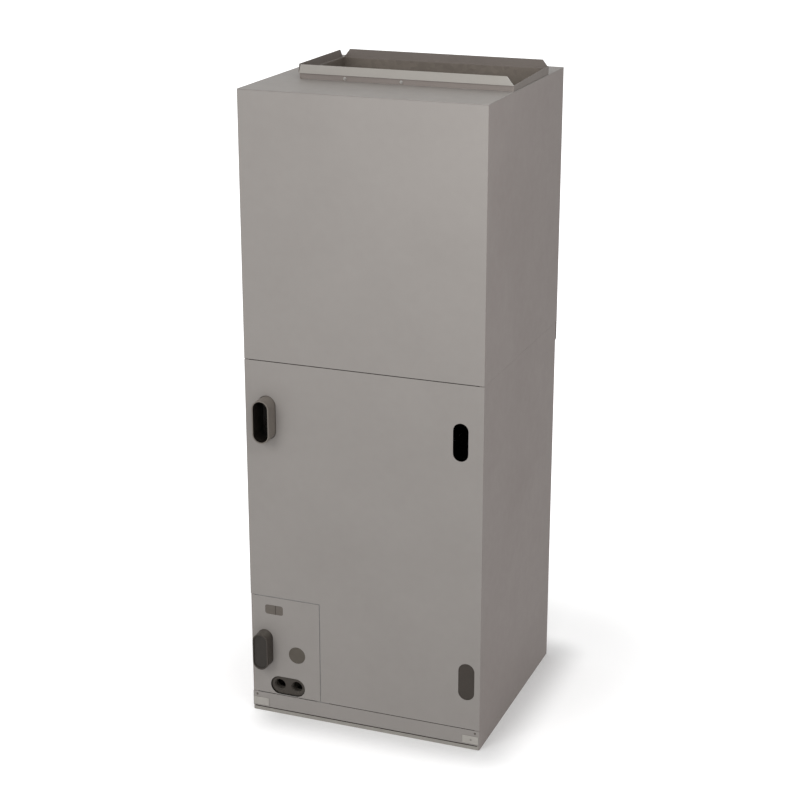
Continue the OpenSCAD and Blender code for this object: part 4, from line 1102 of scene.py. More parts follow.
@dataclass
class Fasteners:
    """Washer-head screws, all made by one kind of tree.

    Attributes:
        head: Diameter of the washer.
        thick: Height of the head.
        washer: Thickness of the washer as a share of the head's.
        hexagon: Corner radius of the hexagon as a share of the head's diameter.
        shank: Height of the hexagon's straight part as a share of the head's.
    """

    head: float = 0.0075
    thick: float = 0.0026
    washer: float = 0.3
    hexagon: float = 0.36
    shank: float = 0.85

    def screws(self, name: str, places: Sequence[Place], finish: Finish, nodes: Sequence[str] = (),
               body: str = "cabinet") -> None:
        """Makes a group of screws.

        Args:
            name: Name of the piece.
            places: Foot point and angles of each.
            finish: Their finish.
            nodes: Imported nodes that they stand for.
            body: The body that they ride on.
        """
        tree = Repeater(f"{name}_tree", Head=self.head, Thick=self.thick)
        head, thick = tree["Head"], tree["Thick"]
        corner, tall = tree.times(head, self.hexagon), tree.times(thick, self.shank)
        washer = tree.cone(24, tree.times(head, 0.5), tree.times(head, 0.46), tree.times(thick, self.washer))
        shank = tree.cone(6, corner, corner, tall)
        crown = tree.cone(6, corner, tree.times(head, 0.3), tree.times(thick, 1 - self.shank), tall)
        tree.piece(name, tree.together(washer, shank, crown), places, finish, nodes, 25.0, body)

    def for_node(self, name: str, node: str, sunk: float, finish: Finish, body: str = "cabinet") -> None:
        """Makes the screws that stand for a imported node.

        Args:
            name: Name of the piece.
            node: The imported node.
            sunk: How much of each packed screw is in the sheet.
            finish: Their finish.
            body: The body that they ride on.
        """
        places = []
        for low, high in islands(node):
            foot, way = (high.y - sunk, TO_FRONT) if low.y < 0 else (low.y + sunk, TO_BACK)
            places.append((Vector(((low.x + high.x) / 2, foot, (low.z + high.z) / 2)), way))
        self.screws(name, places, finish, [node], body)

    def build(self) -> None:
        """Makes the screws of the collar, the joiner and the filter door."""
        self.for_node("collar_screws", "flange_screws", 0.0012, STEEL)
        self.for_node("bracket_screws", "joiner_screws", 0.0015, STEEL)
        small = Fasteners(0.005, 0.0016)
        small.for_node("door_screws", "filter_door_screws", 0.0, DARK_STEEL, "filter_door")


@dataclass
class Cabinet:
    """The casings, the deck, the base and the seam pieces.

    Attributes:
        half: Half the cabinet's width.
        thick: Thickness of the sheets.
        flange: Width of the casings' front flanges.
        bend: Radius of the sheets' bends.
        back: Place of the lower back.
        up_back: Place of the upper back.
        pin: Radius of the washers that hold the blankets.
        sunk: How far the washers lie inside the blankets' outer side.
        pin_depths: Places of the pins on the sides.
        pin_widths: Places of the pins on the back.
        pad_face: Place of the rails' front faces, which carry a dark strip of painted shade at the seams.
    """

    half: float = 0.2665
    thick: float = 0.0012
    flange: float = 0.010
    bend: float = 0.0016
    back: float = 0.250
    up_back: float = 0.258
    pin: float = 0.014
    sunk: float = 0.012
    pin_depths: Triple = (-0.13, 0.03, 0.17)
    pin_widths: Triple = (-0.15, 0.0, 0.15)
    pad_face: float = -0.2482

    def casing(self, node: str, back: float) -> None:
        """Builds one casing: a sheet bent round the sides and the back.

        Args:
            node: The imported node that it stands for.
            back: Place of its back.
        """
        lo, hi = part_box(node)
        inner = self.half - self.flange - self.thick
        right = [(inner, lo[1]), (self.half, lo[1]), (self.half, back)]
        strip = bent_strip(right + [(-x, y) for x, y in right[::-1]], self.thick, self.bend)
        own(f"{node}_sheet", sheet([strip], lo[2], hi[2], Facing.TOP, 0.00055), SIDE_PAINT, [node], 50.0)

    def blanket_pins(self, node: str, rows: Sequence[float]) -> None:
        """Holds a blanket to its casing with weld pins.

        Args:
            node: The blanket's node.
            rows: Their heights as shares of the blanket's.
        """
        lo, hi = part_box(node)
        places = []
        for share in rows:
            z = lo[2] + (hi[2] - lo[2]) * share
            for y in self.pin_depths:
                places.append((Vector((lo[0] + self.sunk, y, z)), TO_RIGHT))
                places.append((Vector((hi[0] - self.sunk, y, z)), TO_LEFT))
            places += [(Vector((x, hi[1] - self.sunk, z)), TO_FRONT) for x in self.pin_widths]
        tree = Repeater(f"{node}_pin_tree", Radius=self.pin)
        disc = tree.cone(28, tree["Radius"], tree.times(tree["Radius"], 0.93), 0.0006)
        nub = tree.cone(12, 0.0016, 0.0012, 0.0022)
        tree.piece(f"{node}_pins", tree.together(disc, nub), places, ZINC)

    def build(self) -> None:
        """Builds the sheets and dresses the pieces around them."""
        self.casing("lower_casing", self.back)
        self.casing("upper_casing", self.up_back)
        # The deck's front right corner gets a painted highlight.
        soft("top_deck", DECK_PAINT, 0.0005,
             corner=(EDGE_HIGHLIGHT, lambda middle, _: middle.x > 0.266 and middle.y < -0.2493 and middle.z > 1.37))
        soft("base_frame", TRAY_ZINC, 0.0005)
        soft("joiner_bracket", SIDE_PAINT, 0.0004)
        soft("filter_rails", ZINC, 0.0003)
        # The rails' front faces behind the panel seams get a dark strip of painted shade.
        dark_seams = {"seam_cross_rail": -0.3, "filter_header": -0.3, "fitting_panel_frame": -0.13}
        for node, start in dark_seams.items():
            soft(node, ZINC, 0.0003, foam=(SEAM_SHADE, lambda middle, normal: normal.y < -0.7
                                           and middle.y < self.pad_face and start < middle.x < 0.3))
        pinned = {"lower_liner": (0.42, 0.64, 0.88), "upper_liner": (0.2, 0.5, 0.8)}
        for node in pinned:
            soft(node, BLANKET, 0.0015)
        for node, rows in pinned.items():
            self.blanket_pins(node, rows)


@dataclass
class DuctCollar:
    """The four pieces of the duct collar and the throat that rises into it.

    Attributes:
        edge: Width of the rounded edges.
        lip: Height from which the front piece is its lip, which takes a lit copy of the paint as painted
            highlight.
    """

    edge: float = 0.0004
    lip: float = 1.4032

    def build(self) -> None:
        """Dresses the flange pieces with softened edges; the front piece is darkened as painted shade below
        its lip and lightened as painted highlight on the lip and its chamfered corner.
        """
        # Front piece: painted shade on the web, painted highlight on the lip and on the chamfered right
        # corner.
        soft("supply_flange_front", COLLAR_WEB_SHADE, self.edge,
             lip=(COLLAR_LIT_LIP, lambda middle, normal: middle.z > self.lip and normal.y < 0.5),
             corner=(EDGE_HIGHLIGHT, lambda middle, normal: middle.z > 1.404 and middle.x > 0.24
                     and 0.2 < normal.x < 0.9))
        for part in ("back", "left", "right"):
            soft(f"supply_flange_{part}", COLLAR_BACK, self.edge)
        soft("supply_throat", DUCT_ZINC, 0.0003)
        soft("heater_cover_plate", ZINC, 0.0003)


@dataclass
class Panels:
    """The access panels, the fitting panel and what sits in their holes.

    Attributes:
        edge: Width of the rounded edges of the large sheets.
    """

    edge: float = 0.0006

    def build(self) -> None:
        """Dresses the panels."""
        soft("upper_access_panel", PAINT, self.edge, "upper_panel")
        soft("upper_panel_liner", BLANKET, 0.001, "upper_panel")
        soft("coil_access_panel", PAINT, self.edge, "coil_panel")
        soft("coil_panel_liner", BLANKET, 0.0006, "coil_panel")
        soft("right_slot_cap", DARK, 0.0006, "coil_panel")
        soft("fitting_panel", PAINT, 0.0005)
        soft("suction_plug", RUBBER, 0.0006)
        soft("knockout_plates", KNOCKOUT, 0.0003)
        soft("lower_drain_plug", PLUG_DARK, 0.0008)


@dataclass
class DrainPans:
    """The two drain pans, with threads in their ports.

    Attributes:
        pitch: Pitch of the pipe thread.
        ridge: How far its ridge stands in.
        radius: Radius of the ports.
        length: Length of the thread.
        spread: Distance of a port from the middle of its pair.
        upper: Middle of the pair of ports in the upper left boss.
        level: Middle of the pair of ports in the level slot.
        straight: Half the straight part of the upper boss.
        wall_start: Place from which the boss stands free of the panel.
        mouth: Place of the boss's open end.
        hollow_end: Place of the bottom of the boss's hollow.
        hollow: Reach of the hollow from the boss's axis.
    """

    pitch: float = 0.00181
    ridge: float = 0.0007
    radius: float = 0.0133
    length: float = 0.016
    spread: float = 0.020216
    upper: Triple = (-0.217, -0.2305, 0.697)
    level: Triple = (-0.1815, -0.2445, 0.070)
    straight: float = 0.0284
    wall_start: float = -0.245
    mouth: float = -0.2837
    hollow_end: float = -0.2295
    hollow: float = 0.0175

    def threads(self) -> None:
        """Cuts the look of a pipe thread into each port."""
        tree = Repeater("port_thread_tree", Radius=self.radius, Length=self.length, Ridge=self.ridge)
        spiral = tree.add("GeometryNodeCurveSpiral", {
            "Resolution": 28, "Rotations": self.length / self.pitch, "Height": tree["Length"],
            "Start Radius": tree["Radius"], "End Radius": tree["Radius"]})
        places = []
        for side in (-1, 1):
            places.append((Vector(self.upper) + UP * side * self.spread, TO_BACK))
            places.append((Vector(self.level) + RIGHT * side * self.spread, TO_BACK))
        tree.piece("port_threads", tree.swept(spiral.outputs[0], tree["Ridge"], 4), places, PAN, (), 60.0)

    def from_axis(self, middle: Vector) -> Vector:
        """Gives the way from the upper boss's axis to a point."""
        up = max(-self.straight, min(self.straight, middle.z - self.upper[2]))
        return Vector((middle.x - self.upper[0], 0, middle.z - self.upper[2] - up))

    def at_boss(self, middle: Vector) -> bool:
        """Says whether a point is at the upper boss, seen from the front."""
        return middle.x <= -0.19 and middle.z >= 0.4

    def on_wall(self, middle: Vector, normal: Vector) -> bool:
        """Says whether a face is on the upper boss's outer wall or its front ring, which take the painted
        sheen.
        """
        if not self.at_boss(middle) or middle.y > self.wall_start:
            return False
        outward = normal.y > -0.8 and normal.dot(self.from_axis(middle)) > 0
        return middle.y < self.mouth or outward

    def in_hollow(self, middle: Vector, normal: Vector) -> bool:
        """Says whether a face is on the wall of the upper boss's hollow, which takes the painted shade."""
        if not self.at_boss(middle) or middle.y > self.hollow_end:
            return False
        way = self.from_axis(middle)
        return way.length < self.hollow and normal.dot(way) < 0.0001

    def build(self) -> None:
        """Dresses the pans."""
        # The upper boss's outer wall gets painted sheen and its hollow painted shade.
        soft("horizontal_drain_pan", PAN, 0.0005, hollow=(HOLLOW_SHADE, self.in_hollow),
             wall=(BOSS_SHEEN, self.on_wall))
        soft("upflow_drain_pan", PAN, 0.0004)
        self.threads()


@dataclass
class FilterDrawer:
    """The filter, its door and the door's clips.

    Attributes:
        strap: Width of the card straps over the pleats.
        straps: How many straps cross the filter.
        seal: The dark strip of painted shade below the door, as left, low, right and high.
    """

    strap: float = 0.012
    straps: int = 3
    seal: tuple[float, float, float, float] = (-0.2615, 0.0090, 0.2615, 0.0107)

    def card_straps(self) -> None:
        """Lays the card straps that hold the pleats under the filter."""
        lo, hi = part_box("filter_media")
        step = (hi[1] - lo[1]) / (self.straps + 1)
        places = [(Vector((0, lo[1] + step * (index + 1), lo[2] - 0.0006)), (0.0, 0.0, 0.0))
                  for index in range(self.straps)]
        tree = Repeater("strap_tree", Strap=self.strap, Reach=hi[0] - lo[0])
        band = tree.block(tree["Reach"], tree["Strap"], 0.0008)
        tree.piece("filter_straps", band, places, CARD, body="filter")

    def build(self) -> None:
        """Dresses the drawer."""
        soft("filter_door", PAINT, 0.0005, "filter_door")
        soft("filter_door_clips", CLIP, 0.0003, "filter_door")
        # A thin dark strip below the door stands for the shade in the gap above the base: painted shade.
        strip = sheet([box_loop(*self.seal)], -0.2503, -0.25005, Facing.FRONT, 0.00005)
        own("door_gap_shade_strip", strip, SEAM_SHADE, (), 50.0, "filter_door")
        soft("filter_frame", CARD, 0.0004, "filter")
        dressed("filter_media", CLOTH)
        self.card_straps()


@dataclass
class Coil:
    """The two slabs of the coil with their tubes and lines.

    Attributes:
        foot: Middle of the right slab's foot.
        lean: Its lean from upright in degrees.
        thick: Its thickness.
        length: Its length up the slope.
        near: Place of its front.
        far: Place of its back.
        pitch: Distance from fin to fin.
        rows: Rows of tubes.
        tube: Radius of the tubes.
        plate: Thickness of the tube plates.
        suction: Radius of the suction header.
        header_low: Lower end of the suction header.
        header_high: Upper end of the suction header.
        liquid: Radius of the liquid line.
        feeder: Radius of the feeder tubes.
        valve_foot: Foot of the metering valve.
        stub: Front end of the suction header's stub.
        branch: Place of the header's branches across the left slab.
        cone_top: Height of the cone's top over the valve.
    """

    foot: tuple[float, float] = (0.207269, 0.0568734)
    lean: float = 18.0058
    thick: float = 0.060
    length: float = 0.520
    near: float = -0.165
    far: float = 0.205
    pitch: float = 0.002
    rows: int = 16
    tube: float = 0.00475
    plate: float = 0.0015
    suction: float = 0.0111
    header_low: Triple = (-0.162117, -0.2036, 0.137332)
    header_high: Triple = (-0.051849, -0.2036, 0.476586)
    liquid: float = 0.00475
    feeder: float = 0.0016
    valve_foot: Triple = (-0.040, -0.22045, 0.327)
    stub: Triple = (-0.158, -0.2408, 0.150)
    branch: float = -0.0180697
    cone_top: float = 0.381

    def ways(self) -> tuple[Vector, Vector]:
        """Gives the directions across and along the right slab."""
        turn = math.radians(self.lean)
        return Vector((math.cos(turn), 0, math.sin(turn))), Vector((-math.sin(turn), 0, math.cos(turn)))

    def spot(self, across: float, along: float, deep: float, side: int = 1) -> Vector:
        """Gives a place by a slab's own directions.

        Args:
            across: Distance from its middle.
            along: Distance up its slope.
            deep: Place from front to back.
            side: 1 for the right slab, -1 for the left one.

        Returns:
            The place.
        """
        first, second = self.ways()
        x = self.foot[0] + across * first.x + along * second.x
        z = self.foot[1] + across * first.z + along * second.z
        return Vector((side * x, deep, z))

    def row(self, index: float) -> float:
        """Gives the distance of a row of tubes up the slope."""
        return self.length / self.rows * index

    def fins(self) -> None:
        """Stacks the corrugated fins of both slabs."""
        count = int((self.far - self.near) / self.pitch)
        tree = Repeater("fin_tree", Thick=self.thick, Length=self.length, Ripple=0.0005, Sheet=0.00018)
        wave = tree.calc("SINE", tree.times(tree.along_x(), math.tau / 0.02))
        plate = tree.block(tree["Thick"], tree["Length"], tree["Sheet"], 13)
        fin = tree.shifted(plate, tree.vector(z=tree.times(wave, tree["Ripple"])))
        margin = 0.0007
        step = (self.far - self.near - 2 * margin) / count
        middle = self.spot(0, self.length / 2, self.near + margin)
        angles = by_axes(*self.ways())
        places = [(middle + BACK * step * index, angles) for index in range(count + 1)]
        right = tree.mesh(fin, places, FIN)
        own("coil_fin_pack_left", mirrored(right), FIN, ["coil_fins_left"], 40.0)
        own("coil_fin_pack_right", right, FIN, ["coil_fins_right"], 40.0)

    def tubes(self) -> None:
        """Runs the tubes through the fins."""
        start = self.near - self.plate
        places = [(self.spot(column * self.thick / 4, self.row(index + 0.5), start, side), TO_BACK)
                  for column in (-1, 1) for index in range(self.rows) for side in (-1, 1)]
        tree = Repeater("tube_tree", Radius=self.tube, Length=self.far - self.near + 2 * self.plate)
        pipe = tree.cone(14, tree["Radius"], tree["Radius"], tree["Length"])
        tree.piece("coil_tubes", pipe, places, COPPER, (), 40.0)

    def bends(self) -> None:
        """Brazes the return bends to the ends of the tubes."""
        along = self.ways()[1]
        places = []
        for first, deep, out in ((0, self.near - self.plate, -1), (1, self.far + self.plate, 1)):
            for column in (-1, 1):
                for index in range(first, self.rows - 1, 2):
                    for side in (-1, 1):
                        spot = self.spot(column * self.thick / 4, self.row(index + 1), deep, side)
                        places.append((spot, by_axes((side * along.x, 0, along.z), (0, out, 0))))
        tree = Repeater("bend_tree", Radius=self.row(0.5), Tube=self.tube)
        inputs = {"Resolution": 15, "Radius": tree["Radius"], "Sweep Angle": math.pi}
        arc = tree.add("GeometryNodeCurveArc", inputs).outputs["Curve"]
        hoop = tree.swept(arc, tree["Tube"], 14)
        sleeve = tree.cone(16, tree.times(tree["Tube"], 1.16), tree.times(tree["Tube"], 1.04), 0.005)
        cuffs = [tree.moved(sleeve, tree.vector(tree.times(tree["Radius"], side)), (-math.pi / 2, 0, 0))
                 for side in (-1, 1)]
        tree.piece("brazed_bends", tree.together(hoop, *cuffs), places, COPPER, ["return_bends"], 50.0)

    def header(self) -> None:
        """Builds the suction header with its caps, its stub and its branches."""
        front, y, radius = self.near - self.plate, self.header_low[1], self.suction
        low, high = Vector(self.header_low), Vector(self.header_high)
        parts = [tube([low, high], radius, 8)]
        dome = [(0, 0.0), (0, radius * 1.04), (0.006, radius * 1.02), (0.009, 0.006), (0.0095, 0.0)]
        for end, way in ((low, low - high), (high, high - low)):
            parts.append(turned(dome, end - way.normalized() * 0.0095, way, 32))
        end = Vector(self.stub)
        parts.append(tube([Vector((end.x, y, end.z)), end], radius, 8))
        cuff = [(0, 0.0), (0, self.tube * 1.5), (0.004, self.tube * 1.15), (0.0045, 0.0)]
        for index in (4, 8, 12):
            start = self.spot(self.branch, self.row(index), y, -1)
            parts.append(tube([start, Vector((start.x, front, start.z))], self.tube, 5))
            parts.append(turned(cuff, start + BACK * (radius - 0.002), BACK, 20))
        own("suction_header_tubes", joined(parts), COPPER, ["suction_header"], 50.0)

    def lines(self) -> None:
        """Bends the liquid line and the feeders."""
        x, y, z = self.valve_foot
        corners = ((-0.1942, -0.24375, 0.251), (-0.1709, y, 0.251), (x, y, 0.3046), (x, y, z))
        route = softened_path([Vector(corner) for corner in corners], 0.024)
        own("liquid_line_tube", tube(route, self.liquid, 6), COPPER, ["liquid_line"], 50.0)
        feeders = []
        for rank in range(-2, 3):
            up = 2 - abs(rank)
            end = self.spot(0, self.length * (0.56 + 0.1 * up), self.near - self.plate, 1 if rank > 0 else -1)
            start = Vector((x + rank * 0.0048, y, self.cone_top))
            path = [start, start + UP * (1 + up) * 0.012, Vector((end.x, y, end.z)), end]
            feeders.append(tube(softened_path(path, 0.014), self.feeder, 3))
        own("feeder_runs", joined(feeders), COPPER, ["feeder_tubes"], 50.0)

    def valve(self) -> None:
        """Builds the metering valve with its cone and nuts."""
        foot = Vector(self.valve_foot)
        body = [(0, 0.0), (0, 0.0095), (0.0035, 0.0115), (0.0245, 0.0115), (0.028, 0.0098), (0.028, 0.0052),
                (0.0285, 0.0048), (0.054, 0.0118), (0.054, 0.0)]
        stem = [(0, 0.0), (0, 0.0082), (0.018, 0.0082), (0.0205, 0.0070), (0.024, 0.0066), (0.024, 0.0)]
        nut = [(0, 0.0), (0, 0.0108), (0.005, 0.0108), (0.006, 0.0102), (0.006, 0.0)]
        parts = [turned(body, foot, UP, 36), turned(stem, foot + UP * 0.014, RIGHT, 6),
                 turned(nut, foot, UP, 6)]
        own("metering_valve_body", joined(parts), BRASS, ["metering_valve"])

    def build(self) -> None:
        """Builds the coil."""
        self.fins()
        self.tubes()
        self.bends()
        self.header()
        self.lines()
        self.valve()
        for node in ("coil_tube_plates", "coil_baffles", "coil_apex_cap"):
            soft(node, ZINC, 0.0003)


@dataclass
class Blower:
    """The blower: its housing, wheel, motor and what carries them.

    Attributes:
        axle: Place of the axle.
        radius: Radius of the wheel.
        width: Width of the wheel.
        blades: How many blades it has.
        inner: Radius at the blades' inner edges.
        disc: Place of the wheel's disc across.
        hub: Half the length of the disc's hub.
        shaft: Radius of the shaft.
        shaft_ends: Places of the shaft's ends across.
        motor: Radius of the motor.
        motor_length: Length of the motor.
        motor_start: Place of the motor's open end across.
        ribs: How many ribs each end bell has.
        rib_way: Distance of the ribs from the axle.
        bolt_way: Distance of the tie bolts from the axle.
        arm_way: Distance of the mount's bolts from the axle.
        arm_place: Place of the mount's bolts across.
    """

    axle: Triple = (0.0, -0.055, 1.050)
    radius: float = 0.127
    width: float = 0.203
    blades: int = 36
    inner: float = 0.10922
    disc: float = -0.022
    hub: float = 0.015
    shaft: float = 0.00635
    shaft_ends: tuple[float, float] = (-0.052, 0.112)
    motor: float = 0.069
    motor_length: float = 0.130
    motor_start: float = 0.008
    ribs: int = 20
    rib_way: float = 0.0395
    bolt_way: float = 0.0535
    arm_way: float = 0.1105
    arm_place: float = 0.1195

    def at(self, across: float) -> Vector:
        """Gives a place on the axle."""
        return Vector((across, self.axle[1], self.axle[2]))

    def around(self, count: int, start: float = 0.0) -> list[Vector]:
        """Gives directions spread evenly round the axle.

        Args:
            count: How many.
            start: Share of a step by which the first one is turned from straight down.

        Returns:
            The directions.
        """
        turns = [math.tau * (index + start) / count for index in range(count)]
        return [Vector((0, math.sin(turn), -math.cos(turn))) for turn in turns]

    def wheel(self) -> None:
        """Builds the wheel: curved blades between rolled rings, on a disc with its hub."""
        depth = self.radius - self.inner - 0.001
        tree = Repeater("blade_tree", Depth=depth, Width=self.width, Bow=0.0072, Sheet=0.0008)
        share = tree.calc("ADD", tree.calc("DIVIDE", tree.along_x(), tree["Depth"]), 0.5)
        bow = tree.times(tree.calc("POWER", tree.calc("MAXIMUM", share, 0.0), 1.6), tree["Bow"])
        blade = tree.shifted(tree.block(tree["Depth"], tree["Sheet"], tree["Width"], 8), tree.vector(y=bow))
        places = [(self.at(0) + out * (self.inner + depth / 2), by_axes(out, RIGHT.cross(out)))
                  for out in self.around(self.blades)]
        parts = [tree.mesh(blade, places, ZINC)]
        edge, big, small = self.width / 2, self.radius, self.inner
        ring = [(edge - 0.005, small + 0.001), (edge - 0.005, big - 0.0006), (edge - 0.0044, big),
                (edge - 0.001, big), (edge, big - 0.001), (edge, big - 0.0028), (edge - 0.0016, big - 0.0034),
                (edge - 0.0016, small + 0.0028), (edge, small + 0.0022), (edge, small + 0.001),
                (edge - 0.005, small + 0.001)]
        parts += [turned(ring, self.at(0), RIGHT * side, 96) for side in (-1, 1)]
        hub, bore = self.hub, self.shaft
        plate = [(-hub, bore), (-hub, 0.0185), (0.0005 - hub, 0.01905), (-0.002, 0.01905), (-0.001, 0.0215),
                 (-0.001, 0.052), (0.0006, 0.058), (0.0006, 0.082), (-0.001, 0.088), (-0.001, small + 0.003),
                 (0.001, small + 0.003), (0.001, 0.089), (0.0026, 0.083), (0.0026, 0.057), (0.001, 0.051),
                 (0.001, 0.0215), (0.002, 0.01905), (hub - 0.0005, 0.01905), (hub, 0.0185), (hub, bore),
                 (-hub, bore)]
        parts.append(turned(plate, self.at(self.disc), RIGHT, 64))
        own("wheel_with_blades", joined(parts), ZINC, ["blower_wheel"], 40.0, "rotor")

    def turned_shaft(self) -> None:
        """Turns the shaft with broken edges."""
        start, end = self.shaft_ends
        full, narrow, length = self.shaft - 0.00002, self.shaft - 0.001, end - start
        profile = [(0, 0.0), (0, narrow), (0.001, full), (length - 0.001, full), (length, narrow),
                   (length, 0.0)]
        own("turned_shaft", turned(profile, self.at(start), RIGHT, 40), STEEL, ["motor_shaft"], 30.0, "rotor")

    def motor_body(self) -> None:
        """Builds the motor: shell, vented end bells and tie bolts."""
        big, small = self.motor, self.motor * 0.86
        length, bearing, hole = self.motor_length, 0.0254, self.shaft + 0.00005
        inside = length * 0.8 + 0.002
        bell = [(0.0005, small - 0.012), (0.002, small - 0.004), (0.006, small), (0.010, small),
                (0.0105, big - 0.0015), (0.012, big)]
        shell = [(inside, 0.0), (inside, hole), (-0.006, hole), (-0.006, bearing - 0.002), (-0.004, bearing),
                 (0.0, bearing + 0.002), *bell, *((length - along, out) for along, out in bell[:0:-1]),
                 (length, small - 0.012), (length, 0.0)]
        own("motor_shell", turned(shell, self.at(self.motor_start), RIGHT, 72), MOTOR, ["blower_motor"], 40.0)
        tree = Repeater("vent_rib_tree", Long=0.022, Wide=0.0025)
        rib = tree.block(tree["Long"], tree["Wide"], 0.0024)
        ends = (self.motor_start, self.motor_start + length)
        ribs = [(self.at(across) + out * self.rib_way, by_axes(out, RIGHT.cross(out)))
                for out in self.around(self.ribs) for across in ends]
        tree.piece("motor_ribs", rib, ribs, MOTOR)
        end = self.at(ends[1] - 0.0004)
        bolts = [(end + out * self.bolt_way, TO_RIGHT) for out in self.around(4, 0.5)]
        Fasteners(0.007, 0.003).screws("motor_tie_bolts", bolts, STEEL)

    def capacitor(self) -> None:
        """Builds the capacitor: rolled can with its terminals."""
        lo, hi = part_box("capacitor")
        middle = Vector(((lo[0] + hi[0]) / 2, (lo[1] + hi[1]) / 2, lo[2]))
        radius, height = (hi[0] - lo[0]) / 2, hi[2] - lo[2]
        lid = height - 0.0055
        can = [(0, 0.0), (0, radius - 0.002), (0.002, radius), (height - 0.010, radius),
               (height - 0.009, radius - 0.0008), (height - 0.0065, radius - 0.0008), (lid, radius),
               (height - 0.0042, radius - 0.0004), (height - 0.0042, radius - 0.003), (lid, radius - 0.0036),
               (lid, 0.0)]
        own("capacitor_can", turned(can, middle, UP, 56), CAN, ["capacitor"], 35.0)
        tree = Repeater("spade_tree", Tall=0.0052)
        tab = tree.moved(tree.block(0.0008, 0.0062, tree["Tall"]), tree.vector(z=0.0026))
        foot = tree.cone(16, 0.0048, 0.0042, 0.0012)
        top = middle + UP * lid
        spots = [(top + Vector((math.cos(turn), math.sin(turn), 0)) * 0.0105, (0, 0, turn))
                 for turn in (0.5, 2.6, 4.7)]
        tree.piece("capacitor_spades", tree.together(tab, foot), spots, BRASS)

    def build(self) -> None:
        """Builds the blower."""
        dressed("blower_scroll", ZINC)
        for node in ("blower_side_plates", "blower_shelf", "blower_rails", "motor_mount"):
            soft(node, ZINC, 0.0004, turn=35.0)
        self.wheel()
        self.turned_shaft()
        self.motor_body()
        middle = self.at(self.arm_place)
        arms = [(middle + out * self.arm_way, TO_RIGHT) for out in self.around(3, 0.25)]
        Fasteners(0.009, 0.004).screws("mount_bolts", arms, STEEL)
        self.capacitor()


@dataclass
class Controls:
    """The control box with its transformer, board and motor lead.

    Attributes:
        lamination: Distance from one core sheet to the next.
        board_thick: Thickness of the board.
        post: Length of the posts behind the board.
        inset: Distance of the posts from the board's sides.
        lead_radius: Radius of the motor lead.
    """

    lamination: float = 0.001
    board_thick: float = 0.0016
    post: float = 0.008
    inset: float = 0.006
    lead_radius: float = 0.004

    def transformer(self) -> None:
        """Stacks the core and wraps the winding."""
        lo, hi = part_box("transformer")
        front = lo[1] + 0.006
        count = int((hi[1] - front) / self.lamination)
        step = (hi[1] - front - 0.0004) / count
        middle = Vector(((lo[0] + hi[0]) / 2, front + 0.0005, (lo[2] + hi[2]) / 2))
        tree = Repeater("core_tree", Wide=hi[0] - lo[0], Tall=hi[2] - lo[2])
        leaf = tree.block(tree["Wide"], tree["Tall"], 0.00085)
        places = [(middle + BACK * step * index, by_axes(RIGHT, UP)) for index in range(count)]
        tree.piece("transformer_core", leaf, places, CORE, ["transformer"])
        coil = box_loop(lo[0] + 0.010, lo[2] + 0.010, hi[0] - 0.010, hi[2] - 0.010, 0.005)
        winding = sheet([coil], lo[1], front + 0.002, Facing.FRONT, 0.0022)
        own("transformer_winding", winding, WINDING, (), 60.0)
        strap = sheet([box_loop(lo[0], lo[2] + 0.021, hi[0], lo[2] + 0.033)], front - 0.0012, front,
                      Facing.FRONT, 0.0003)
        own("transformer_strap", strap, ZINC, (), 50.0)

    def board(self) -> None:
        """Builds the board with relays, terminals and small parts."""
        lo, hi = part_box("control_board")
        back = hi[1] - self.post
        front = back - self.board_thick
        corners = [(x, z) for x in (lo[0] + self.inset, hi[0] - self.inset)
                   for z in (lo[2] + self.inset, hi[2] - self.inset)]
        outline = box_loop(lo[0], lo[2], hi[0], hi[2], 0.002)
        holes = [ring_loop(x, z, 0.0016) for x, z in corners]
        parts = [sheet([outline, *holes], front, back, Facing.FRONT, 0.0002)]
        post = [(0, 0.0), (0, 0.003), (self.post, 0.003), (self.post, 0.0)]
        parts += [turned(post, Vector((x, back, z)), BACK, 6) for x, z in corners]
        own("board_with_posts", joined(parts), BOARD, ["control_board"])
        low = lo[2] + 0.030
        cases = []
        for index in range(3):
            left = lo[0] + 0.016 + index * 0.036
            case = box_loop(left, low, left + 0.024, low + 0.026, 0.0012)
            cases.append(sheet([case], front, lo[1], Facing.FRONT, 0.001))
        own("relay_cases", joined(cases), RELAY, (), 50.0)

        def along(count: int, first: float, step: float, height: float) -> list[Place]:
            """Gives places in a row on the board's front."""
            return [(Vector((lo[0] + first + index * step, front, height)), TO_FRONT)
                    for index in range(count)]

        tree = Repeater("terminal_tree", Side=0.0075)
        block = tree.moved(tree.block(tree["Side"], tree["Side"], 0.009), tree.vector(z=0.0045))
        screw = tree.cone(12, 0.0022, 0.0020, 0.0006, 0.009)
        row = along(9, 0.020, 0.0092, lo[2] + 0.012)
        tree.piece("terminal_row", tree.together(block, screw), row, RELAY)
        small = Repeater("resistor_tree", Radius=0.0013)
        bead = small.moved(small.cone(12, small["Radius"], small["Radius"], 0.0066, -0.0033),
                           small.vector(z=0.0016), (math.pi / 2, 0, 0))
        beads = along(12, 0.018, 0.0078, hi[2] - 0.009)
        small.piece("board_resistors", bead, beads, WINDING, (), 40.0)

    def lead(self) -> None:
        """Bends the motor lead in soft curves from the motor to the box."""
        path = [Vector(point) for point in ((0.138, -0.055, 1.0845), (0.1515, -0.055, 1.0845),
                                            (0.1515, -0.1352, 1.119), (0.1515, -0.1352, 1.262))]
        sleeve = tube(softened_path(path, 0.02), self.lead_radius, 5)
        own("motor_lead_sleeve", sleeve, LEAD, ["motor_lead"], 50.0)

    def build(self) -> None:
        """Builds the controls."""
        soft("control_box", ZINC, 0.0004)
        self.transformer()
        self.board()
        self.lead()


